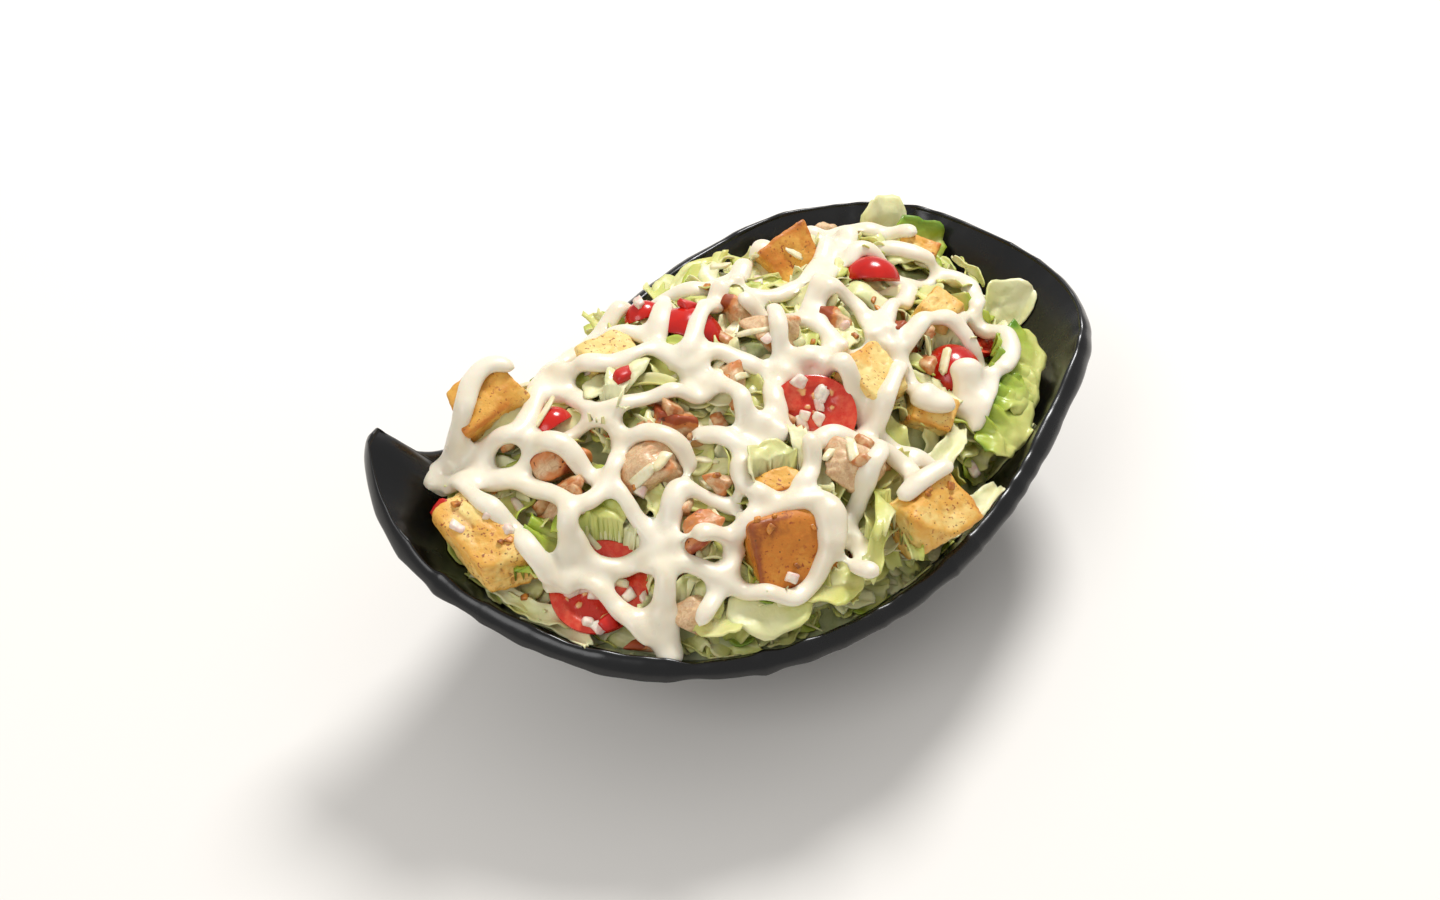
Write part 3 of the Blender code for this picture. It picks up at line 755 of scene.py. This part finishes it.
def shredSheet(length, width, green, chance):
    # A cut strip: u along it and v across it, with ragged ends, bowed sideways and curled lengthwise.
    rows, columns = 22, 7
    u, v = sheetGrid(rows, columns, -1)
    seed = chance.uniform(0, 50)
    ragged = 1 + 0.12 * cloud(np.column_stack([v * 3 + seed, u * 0, v * 0]), 1.0, 44) * np.abs(u)
    sides = 1 + 0.22 * cloud(np.column_stack([u * 4 + seed, np.sign(v) * 5, u * 0]), 1.0, 45)
    taper = 1 - 0.45 * chance.uniform(0.2, 1) * np.clip(u * chance.choice((-1, 1)), 0, 1) ** 2
    x = u * length / 2 * ragged
    y = v * width / 2 * sides * taper + chance.uniform(-0.18, 0.18) * length * u**2
    curl = chance.uniform(-0.3, 1.1)
    z = curl * width * 0.35 * v**2 + chance.uniform(-0.16, 0.22) * length * (1 - u**2)
    z += np.abs(v) * np.sin(u * chance.uniform(5, 9) + seed) * 0.13 * width
    z += creased(x, y, seed, green) * 0.55
    tint = green * (0.55 + 0.6 * (v * chance.choice((-1, 1)) * 0.5 + 0.5)) + 0.1 * np.sin(u * 3 + seed)
    return np.column_stack([x, y, z]), gridFaces(rows, columns, closedColumns=False), np.clip(tint, 0, 1)


def tornSheet(length, width, green, chance):
    # A torn piece: rings out from its middle to a many-sided ragged outline. Its height is the leaf's
    # crinkle, a bend about one line and an edge that turns up.
    rings, columns = 9, 34
    angle = np.arange(columns) / columns * 2 * math.pi
    ways = np.column_stack([np.cos(angle), np.sin(angle)])
    sides = np.sort(chance.uniform(0, 1, 6)) * 0.5 + np.arange(6)
    planes = np.column_stack([np.cos(sides * math.pi / 3), np.sin(sides * math.pi / 3)])
    reach = (np.maximum(ways @ planes.T / chance.uniform(0.75, 1.1, 6), 0) ** 9).sum(1) ** (-1 / 9)
    seed = chance.uniform(0, 50)
    reach *= 1 + 0.12 * cloud(np.column_stack([ways * 3.2, angle * 0 + seed]), 1.0, 46)
    share = np.linspace(0, 1, rings + 1)[1:, None]
    x = (share * reach * ways[:, 0] * length / 2).ravel()
    y = (share * reach * ways[:, 1] * width / 2).ravel()
    x, y = np.append(x, 0), np.append(y, 0)
    out = np.append(np.repeat(share, columns), 0)
    bend = chance.uniform(-0.5, 1.2) * (x * math.sin(seed) + y * math.cos(seed)) ** 2 / length * 0.7
    flat = np.column_stack([x, y, x * 0 + seed])
    z = creased(x, y, seed, green) + bend + out**3 * 1.6 * cloud(flat, 4.0, 47)
    rib = np.exp(-((y / (0.13 * width)) ** 2))
    z -= rib * 0.8
    lean = (x * math.cos(seed * 2) + y * math.sin(seed * 2)) / length
    tint = green * (0.8 + 0.8 * lean) + 0.12 * cloud(flat, 7.0, 48) - 0.35 * rib * green
    faces = gridFaces(rings, columns).tolist()
    around = np.arange(columns)
    faces += np.column_stack([np.full(columns, len(x) - 1), (around + 1) % columns, around]).tolist()
    return np.column_stack([x, y, z]), faces, np.clip(tint, 0, 1)


def frillSheet(length, width, green, chance):
    # Leaf margin: u along it and v out from the rib; ruffles of growing size run out to the edge.
    rows, columns = 70, 16
    u, v = sheetGrid(rows, columns, 0)
    seed = chance.uniform(0, 50)
    ragged = 1 + 0.16 * cloud(np.column_stack([u * 5 + seed, u, u * 0]), 1.0, 49)
    wide = width * np.sqrt(np.clip(1 - np.abs(u) ** 3, 0.05, 1)) * ragged
    # a drifting start makes the ruffles uneven
    drift = seed + 3.4 * cloud(np.column_stack([u * 3 + seed, v * 1.2, u * 0]), 1.0, 50)
    x = u * length / 2 + v**2 * 1.5 * np.sin(u * length / 3.4 + drift)
    y = (v - 0.5) * wide
    ruffle = v**1.6 * (2.0 * np.sin(u * length / 3.1 + drift) + 0.9 * np.sin(u * length / 1.4 + drift * 2))
    z = ruffle + creased(x, y, seed, green) * 0.6 - 3.0 * (v - 0.5) ** 2
    tint = green * (0.4 + 0.6 * v) + 0.2 * cloud(np.column_stack([x, y, x * 0 + seed]), 4.0, 53) * v
    return np.column_stack([x, y, z]), gridFaces(rows, columns, closedColumns=False), np.clip(tint, 0, 1)


sheetKinds = {"shreds": shredSheet, "torn": tornSheet, "edge": tornSheet, "frill": frillSheet}


def laidOn(points, x, y, z, normal, turn, tilt):
    # Lays a piece made flat in x, y onto a slope: tilted, turned, then leaned to the slope's normal.
    points = turned(points, (tilt[0], tilt[1], turn))
    lean = Vector((0, 0, 1)).rotation_difference(Vector(normal)).to_matrix()
    return points @ np.array(lean).T + (x, y, z)


def insideOf(outline, points):
    # Winding test: counts the outline's edges that a line towards +x crosses.
    x, y = points[:, 0, None], points[:, 1, None]
    x1, y1 = outline[:, 0], outline[:, 1]
    x2, y2 = np.roll(x1, -1), np.roll(y1, -1)
    across = (y1 > y) != (y2 > y)
    at = x1 + (y - y1) * (x2 - x1) / np.where(y2 == y1, 1e-9, y2 - y1)
    return (across & (x < at)).sum(1) % 2 == 1


def drawnIn(points, outline):
    # Slides a piece towards the crown until all of it is over the heap.
    crown = np.array([*heap["crown"], 0])
    for _ in range(40):
        if insideOf(outline, points).all():
            break
        points = points + (crown - points.mean(0)) * (0.03, 0.03, 0)
    return points


def fitted(points, toppingTree, shellTree):
    # Presses the points that lie over a topping down below its top, and lifts those that would be in
    # the bowl's wall just clear of it.
    for index, (x, y, z) in enumerate(points):
        above = Vector((x * mm, y * mm, 0.3))
        topping = toppingTree.ray_cast(above, Vector((0, 0, -1)))[0]
        shell = shellTree.ray_cast(above, Vector((0, 0, -1)))[0]
        if topping:
            z = min(z, topping.z / mm - lettuce["tuck"])
        if shell:
            z = max(z, shell.z / mm + lettuce["clear"])
        points[index, 2] = z
    return points


def addLeaves(name, parts, tints):
    points, faces = joinedLoose(parts)
    values = {"green": np.concatenate(tints)}
    piece = addMesh(name, points, faces, leafFinish(name.replace("_", " ")), values=values)
    solid = piece.modifiers.new("thickness", "SOLIDIFY")
    solid.thickness = lettuce["thickness"] * mm
    solid.offset = 0
    return finished(piece, "leaves")


def scatterLeaves(kind, heapRings, outline, trees, chance):
    # Leaf pieces over the whole heap: a random ring and station gives each its place, more of them
    # near the edge, where they also lean up the wall.
    facts = lettuce[kind]
    coreTree, toppingTree, shellTree = trees
    parts, tints = [], []
    for _ in range(facts["count"]):
        inward = 1 - math.sqrt(chance.uniform(0, 0.98))
        ring = heapRings[int(inward * (0.16 if kind == "edge" else 1.0) * (len(heapRings) - 1))]
        x, y, _ = ring[chance.integers(len(ring))]
        ground, normal = heightOver(coreTree, x, y, 45.0)
        green = chance.uniform(*facts["green"])
        size = chance.uniform(*facts["length"]), chance.uniform(*facts["width"])
        points, faces, tint = sheetKinds[kind](*size, green, chance)
        normal = normal * (1, 1, 1.8) if normal[2] > 0 else np.array([0, 0, 1.0])
        tilt = chance.uniform(-20, 20, 2)
        height = ground + chance.uniform(*facts["lift"])
        points = laidOn(points, x, y, height, normal, chance.uniform(0, 360), tilt)
        parts.append((fitted(drawnIn(points, outline), toppingTree, shellTree), faces))
        tints.append(tint)
    return addLeaves(f"lettuce_{kind}", parts, tints)


def placeLeaves(trees, chance):
    coreTree, toppingTree, shellTree = trees
    parts, tints = [], []
    for kind, x, y, lift, length, width, green, turn, tiltX, tiltY in lettuce["placed"]:
        points, faces, tint = sheetKinds[kind](length, width, green, chance)
        ground, _ = heightOver(coreTree, x, y, 45.0)
        points = laidOn(points, x, y, ground + lift, (0, 0, 1), turn, (tiltX, tiltY))
        parts.append((fitted(points, toppingTree, shellTree), faces))
        tints.append(tint)
    return addLeaves("lettuce_placed", parts, tints)


dressing = {
    # each strand's x, y places in millimetres along the way the bottle moved
    "strands": (
        ((-99, -18), (-94, -11), (-86, -7), (-81, 1), (-75, 5), (-68, 3)),
        ((-88, -15), (-79, -13), (-72, -14), (-67, -8), (-64, -2), (-60, 6), (-55, 12), (-46, 17),
         (-38, 18), (-30, 16), (-24, 9)),
        ((-57, 10), (-52, 15), (-44, 19)),
        ((-50, 8), (-46, 5), (-40, 3), (-32, 4), (-26, 6), (-18, -3), (-10, 0), (-4, -4), (3, -9)),
        ((-62, 2), (-55, 0), (-51, -5), (-49, -11), (-42, -13), (-33, -12), (-25, -13), (-17, -14),
         (-10, -8)),
        ((-96, -19), (-90, -20), (-82, -23), (-74, -24), (-68, -20), (-61, -23), (-57, -29), (-53, -35),
         (-48, -37)),
        ((-70, -17), (-62, -17), (-54, -14), (-46, -16), (-44, -22), (-47, -30), (-51, -36), (-56, -41),
         (-62, -43)),
        ((-47, -22), (-41, -24), (-35, -27), (-29, -32), (-27, -38)),
        ((-24, -25), (-18, -29), (-13, -35), (-6, -36), (2, -32)),
        ((-92, -19), (-90, -25), (-87, -32), (-83, -38), (-79, -44), (-77, -51), (-73, -57), (-67, -60)),
        ((-89, -22), (-80, -25), (-73, -29), (-67, -35), (-64, -41), (-66, -48), (-70, -54), (-75, -59)),
        ((-65, -47), (-61, -53), (-54, -56), (-48, -56), (-42, -57), (-35, -58)),
        ((-50, -36), (-48, -43), (-45, -50), (-41, -56)),
        ((-40, -57), (-37, -50), (-33, -43), (-28, -45), (-22, -48), (-16, -51)),
        ((-77, -57), (-70, -57), (-64, -58), (-59, -63), (-56, -68), (-53, -74), (-50, -79)),
        ((-48, -59), (-43, -63), (-44, -69), (-47, -75), (-47, -81)),
        ((-43, -63), (-37, -64), (-32, -67), (-27, -71), (-22, -74)),
        ((-24, -66), (-29, -71), (-34, -77), (-38, -81)),
        ((6, 30), (10, 40), (17, 52), (26, 62), (36, 67), (44, 63), (52, 66), (58, 62), (66, 58), (74, 52)),
        ((46, 60), (41, 48), (33, 36), (25, 28), (15, 24), (7, 26)),
        ((52, 64), (51, 54), (43, 42), (35, 30), (28, 20), (22, 13)),
        ((44, 36), (50, 42), (57, 38), (62, 32), (70, 33), (78, 36), (83, 30), (82, 20), (78, 12)),
        ((64, 30), (58, 22), (51, 15), (46, 8), (44, 0)),
        ((47, -4), (53, 1), (60, 6), (67, 8), (72, 2), (74, -7), (73, -15), (68, -23), (61, -31)),
        ((70, 9), (77, 13), (83, 9), (85, 1), (82, -8), (76, -14)),
        ((47, -4), (46, -12), (46, -20), (50, -26), (56, -25)),
        ((44, -2), (44, -12), (38, -22), (30, -31), (20, -35), (11, -34), (3, -31), (-6, -27)),
        ((10, -8), (17, -8), (24, -6), (32, -4), (39, -4), (44, -9)),
        ((4, -10), (13, -12), (21, -13), (25, -20), (27, -28)),
        ((5, -12), (2, -20), (2, -29)),
        ((4, 22), (10, 16), (17, 12), (24, 8), (27, 1), (24, -5)),
        ((12, 13), (11, 6), (10, 0), (8, -7)),
        ((-46, 17), (-38, 24), (-30, 31), (-22, 38), (-12, 40), (-3, 38), (6, 41), (11, 36)),
        ((-16, 34), (-18, 26), (-22, 16), (-26, 8)),
        ((2, 31), (-4, 22), (-11, 12), (-17, 2), (-24, -2)),
        ((-13, -38), (-15, -44), (-12, -51), (-5, -53), (2, -50), (6, -44), (7, -37)),
        ((6, -40), (14, -36), (22, -39), (26, -45), (21, -51), (15, -56), (9, -61), (6, -67)),
        ((-34, -60), (-27, -60), (-20, -59), (-12, -56), (-4, -56), (4, -57), (10, -60)),
        ((-20, -59), (-24, -65), (-25, -71), (-19, -76), (-11, -78), (-4, -75), (2, -70), (6, -63)),
        ((9, -60), (13, -66), (12, -72), (9, -77), (13, -82)),
        ((22, -38), (29, -42), (34, -48), (33, -55), (30, -60)),
        ((29, -32), (35, -38), (41, -43), (46, -49)),
        ((26, -61), (32, -58), (39, -55), (45, -53)),
        ((57, 48), (64, 46), (70, 42), (76, 40)),
        ((26, 17), (34, 20), (40, 17), (41, 8), (40, -1)),
        ((28, 18), (25, 9), (27, 0), (30, -5)),
        ((-24, -8), (-17, -9), (-11, -13), (-8, -20), (-8, -27), (-3, -32)),
    ),
    # wide pools where strands ran together
    "pools": (
        ((-98, -17), (-92, -14), (-86, -16), (-79, -18)), ((4, -9), (12, -11), (19, -12)), ((66, -9),
         (64, -18), (60, -26)),
        ((-45, -68), (-46, -75), (-46, -80), (-43, -83)), ((46, -20), (50, -26), (56, -25)), ((-60, -2),
         (-56, 4), (-52, 9)),
        ((6, -58), (5, -65), (3, -71)), ((-73, -56), (-68, -55), (-62, -55)),
    ),
    "width": 6.1, "poolWidth": 9.2, "flatness": 0.62, "rise": 1.0, "web": 1.2, "voxel": 0.86, "smoothing": 5,
}


def openCurve(points, step):
    # Catmull-Rom curve through a list of x, y places, read at even steps.
    points = np.asarray(points, float)
    points = np.vstack([2 * points[0] - points[1], points, 2 * points[-1] - points[-2]])
    pieces = []
    t = np.linspace(0, 1, 20, endpoint=False)[:, None]
    for p0, p1, p2, p3 in zip(points, points[1:], points[2:], points[3:]):
        bend, twist = 2 * p0 - 5 * p1 + 4 * p2 - p3, 3 * p1 - p0 - 3 * p2 + p3
        pieces.append(0.5 * (2 * p1 + (p2 - p0) * t + bend * t**2 + twist * t**3))
    dense = np.vstack(pieces + [points[-2:-1]])
    length = np.concatenate([[0], np.cumsum(np.linalg.norm(np.diff(dense, axis=0), axis=1))])
    steps = np.linspace(0, length[-1], max(4, int(length[-1] / step)))
    return np.column_stack([np.interp(steps, length, column) for column in dense.T])


def rope(places, width, tree, seed):
    # A round-ended rope along a route: it lies on the highest thing near it, sags a little between
    # supports, and its width wanders. Each section is an ellipse across the route.
    flat = openCurve(places, 1.2)
    ground = np.array([heightOver(tree, x, y, np.nan)[0] for x, y in flat])
    ground = np.where(np.isnan(ground), np.nanmin(ground) if np.isfinite(ground).any() else 50.0, ground)
    padded = np.pad(ground, 4, mode="edge")
    upper = np.max([padded[k: k + len(ground)] for k in range(2, 7)], axis=0)
    weights = np.exp(-0.5 * (np.arange(-4, 5) / 2.0) ** 2)
    height = np.convolve(np.pad(upper, 4, mode="edge"), weights / weights.sum(), mode="valid")
    route = np.column_stack([flat, height + dressing["rise"]])
    wander = 1 + 0.24 * cloud(route + seed * 7.0, 9.0, 51) + 0.1 * cloud(route + seed * 7.0, 4.0, 52)
    share = np.linspace(0, 1, len(route))
    ends = np.sqrt(np.clip(1 - (np.abs(share * 2 - 1) ** (len(route) / 2.2)), 0.02, 1))
    half = width / 2 * wander * ends
    ahead = np.gradient(route, axis=0)
    ahead /= np.linalg.norm(ahead, axis=1, keepdims=True)
    side = np.cross(ahead, [0, 0, 1.0])
    side /= np.linalg.norm(side, axis=1, keepdims=True)
    up = np.cross(side, ahead)
    around = np.linspace(0, 2 * math.pi, 14, endpoint=False)
    rings = (route[:, None] + side[:, None] * (np.cos(around) * half[:, None])[..., None]
             + up[:, None] * (np.sin(around) * half[:, None] * dressing["flatness"])[..., None])
    return closedStack(list(rings), route[:1] - ahead[:1] * 0.4, route[-1:] + ahead[-1:] * 0.4)


def makeDressing(tree):
    # All the ropes and pools, melted into one body by a voxel remesh and then smoothed.
    d = dressing
    parts = [rope(places, d["width"], tree, number) for number, places in enumerate(d["strands"])]
    parts += [rope(places, d["poolWidth"], tree, 90 + number) for number, places in enumerate(d["pools"])]
    points, faces = joinedLoose(parts)
    piece = addMesh("dressing_net", points, faces, dressingFinish())
    fixFacing(piece)
    # swollen, melted together and shrunk back, so that neighbouring ropes join in soft webs
    for label, amount in (("swell", d["web"]), ("shrink", -d["web"])):
        move = piece.modifiers.new(label, "DISPLACE")
        move.strength = amount * mm
        move.mid_level = 0.0
        if amount > 0:
            melt = piece.modifiers.new("melt", "REMESH")
            melt.mode = "VOXEL"
            melt.voxel_size = d["voxel"] * mm
            melt.use_smooth_shade = True
            early = piece.modifiers.new("ease", "SMOOTH")
            early.factor = 0.5
            early.iterations = 4
    soft = piece.modifiers.new("soften", "SMOOTH")
    soft.factor = 0.5
    soft.iterations = d["smoothing"]
    bakeModifiers(piece)
    print("dressing:", len(piece.data.polygons), "faces")
    return finished(piece, "dressing")


def bakeModifiers(piece):
    # Replaces a piece's mesh by what its modifiers make of it.
    graph = bpy.context.evaluated_depsgraph_get()
    made = bpy.data.meshes.new_from_object(piece.evaluated_get(graph))
    made.polygons.foreach_set("use_smooth", np.full(len(made.polygons), True))
    piece.modifiers.clear()
    piece.data = made


def dressingFinish():
    # Thick cream: warm white, a little yellower in places, soft uneven gloss and hardly any bump.
    look = Finish("creamy dressing", 0.3, Subsurface_Weight=0.18, Subsurface_Scale=0.003)
    drift = look.noise(11.0, 2.0, 0.3)
    tone = look.mix(drift.band(0.3, 0.7), srgb(240, 231, 210), srgb(233, 221, 194))
    gloss = look.noise(8.0, 2.0).band(0.35, 0.7)
    return look.paint(tone, 0.42 - gloss * 0.16, look.noise(6.0, 1.0), 0.12, 0.4)


bits = {
    # kind: slot, size, how much sizes vary, which nodes they lie round (count, reach), and free ones
    "onion_dice": dict(slot="onion", size=(4.6, 3.4, 2.2), vary=0.3, free=10,
                       colours=((240, 228, 208), (232, 196, 182)),
                       near=(("tomato_07", 9, 9), ("tomato_01", 11, 11), ("crouton_01", 4, 12),
                             ("tomato_03", 3, 6))),
    "cheese_shavings": dict(slot="cheese", size=(9.5, 2.8, 1.5), vary=0.3, free=34,
                            colours=((242, 234, 200), (232, 218, 170)),
                            near=(("tomato_01", 4, 15), ("chicken_01", 4, 14), ("chicken_07", 4, 12))),
    "chicken_crumbs": dict(slot="chicken", size=(6.5, 4.5, 4.0), vary=0.35, free=12,
                           colours=((214, 172, 124), (186, 108, 52)),
                           near=(("chicken_07", 4, 12), ("chicken_12", 5, 12), ("chicken_02", 5, 12),
                                 ("chicken_05", 4, 12))),
    "tomato_dice": dict(slot="tomato", size=(7.0, 5.0, 4.0), vary=0.3, free=2,
                        colours=((206, 36, 20), (188, 20, 14)),
                        near=(("tomato_02", 1, 10), ("tomato_01", 2, 12), ("crouton_01", 1, 16))),
    "toast_crumbs": dict(slot="toast", size=(2.2, 1.8, 1.5), vary=0.4, free=16,
                         colours=((214, 140, 56), (150, 84, 30)),
                         near=(("crouton_01", 8, 14), ("crouton_04", 6, 14), ("crouton_09", 6, 14))),
    "seed": 23, "sink": 0.35, "rows": 9, "columns": 14, "sharpness": 11.0,
}


def bitFinish(kind, pale, deep):
    look = Finish(kind.replace("_", " "), 0.35, Subsurface_Weight=0.15, Subsurface_Scale=0.0015)
    tone = look.mix(look.noise(2.6, 2.0).band(0.35, 0.68), srgb(*pale), srgb(*deep))
    return look.paint(tone, look.noise(2.0, 1.0) * 0.25 + 0.25, look.noise(1.0, 2.0), 0.3, 0.25)


def makeBits(tree, outline, heapRings):
    # Each bit is a small soft block with uneven sides, turned at random and laid on what is below it.
    chance = np.random.default_rng(bits["seed"])
    sides = np.vstack([np.eye(3), -np.eye(3)])
    made = []
    for kind in ("onion_dice", "cheese_shavings", "chicken_crumbs", "tomato_dice", "toast_crumbs"):
        facts = bits[kind]
        places = []
        for node, count, reach in facts["near"]:
            low, high = (np.array(corner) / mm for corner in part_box(node))
            places += [(low + high)[:2] / 2 + chance.normal(0, reach / 2, 2) for _ in range(count)]
        for _ in range(facts["free"]):
            ring = heapRings[chance.integers(3, len(heapRings))]
            places.append(ring[chance.integers(len(ring))][:2])
        places = np.array(places)
        places = places[insideOf(outline, places)]
        parts = []
        for x, y in places:
            size = np.array(facts["size"]) * (1 + chance.uniform(-1, 1, 3) * facts["vary"])
            planes = sides + chance.normal(0, 0.16, (6, 3))
            planes /= np.linalg.norm(planes, axis=1, keepdims=True)
            grid = bits["rows"], bits["columns"]
            points, faces, _ = softBlock(size, *grid, planes, np.ones(6), bits["sharpness"])
            points += 0.12 * size[2] * cloud(points + x, size[2] * 1.2, 61)[:, None]
            height, normal = heightOver(tree, x, y, 40.0)
            normal = normal if normal[2] > 0.3 else np.array([0, 0, 1.0])
            lift = height + size[2] * (0.5 - bits["sink"])
            tilt = chance.uniform(-16, 16, 2)
            parts.append((laidOn(points, x, y, lift, normal, chance.uniform(0, 360), tilt), faces))
        points, faces = joinedLoose(parts)
        made.append(finished(addMesh(kind, points, faces, bitFinish(kind, *facts["colours"])), facts["slot"]))
    return made


view = {
    "camera": (-0.1289, -0.4090, 0.4805), "target": (0.0026, 0.0361, 0.0), "lens": 50.0,
    "floor": srgb(240, 236, 230), "floorSize": 4.0,
}


def makeStage():
    mesh = bpy.data.meshes.new("floor")
    half = view["floorSize"] / 2
    corners = [(-half, -half, 0), (half, -half, 0), (half, half, 0), (-half, half, 0)]
    mesh.from_pydata(corners, [], [(0, 1, 2, 3)])
    look = Finish("pale paper", 0.85)
    look.paint(view["floor"])
    mesh.materials.append(look.material)
    floor = bpy.data.objects.new("floor", mesh)
    scene.collection.objects.link(floor)
    floor.location.z = -0.0002


def addLamp(name, place, aim, size, power):
    lamp = bpy.data.lights.new(name, "AREA")
    lamp.shape = "DISK"
    lamp.size = size
    lamp.energy = power
    made = bpy.data.objects.new(name, lamp)
    made.location = place
    made.rotation_euler = (Vector(aim) - Vector(place)).to_track_quat("-Z", "Y").to_euler()
    scene.collection.objects.link(made)


def makeLight():
    world = bpy.data.worlds.new("soft room")
    world.use_nodes = True
    world.node_tree.nodes["Background"].inputs["Color"].default_value = (1, 1, 1, 1)
    world.node_tree.nodes["Background"].inputs["Strength"].default_value = 0.5
    scene.world = world
    addLamp("window", (0.55, 0.75, 1.1), (0, 0, 0.03), 0.45, 17)
    addLamp("fill", (-0.9, -0.6, 1.1), (0, 0, 0.03), 0.8, 5.5)


def makeCamera():
    camera = bpy.data.cameras.new("camera")
    camera.lens = view["lens"]
    camera.sensor_width = 36
    made = bpy.data.objects.new("camera", camera)
    made.location = view["camera"]
    ahead = Vector(view["target"]) - Vector(view["camera"])
    made.rotation_euler = ahead.to_track_quat("-Z", "Y").to_euler()
    scene.collection.objects.link(made)
    scene.camera = made


makeStage()
makeLight()
makeCamera()
wall = Wall(bowl["stations"])
shell = makeBowl(wall)
print("bowl done")
core = makeCore(wall)
makeCroutons()
makeChicken()
makeTomatoes()
print("toppings done")
toppings = [item for item in scene.objects if item.name.endswith(("_toast", "_meat", "_flesh"))]
trees = treeOf([core]), treeOf(toppings), treeOf([shell])
chance = np.random.default_rng(lettuce["seed"])
edge, rings = heapTop(wall)
leaves = [scatterLeaves(kind, rings, edge[::8], trees, chance) for kind in ("shreds", "torn", "edge")]
leaves.append(placeLeaves(trees, chance))
print("lettuce done")
ground = treeOf([shell, core, *leaves, *toppings])
small = makeBits(ground, edge[::8], rings)
print("small things done")
makeDressing(treeOf([shell, core, *leaves, *toppings, *small]))
print("dressing done")
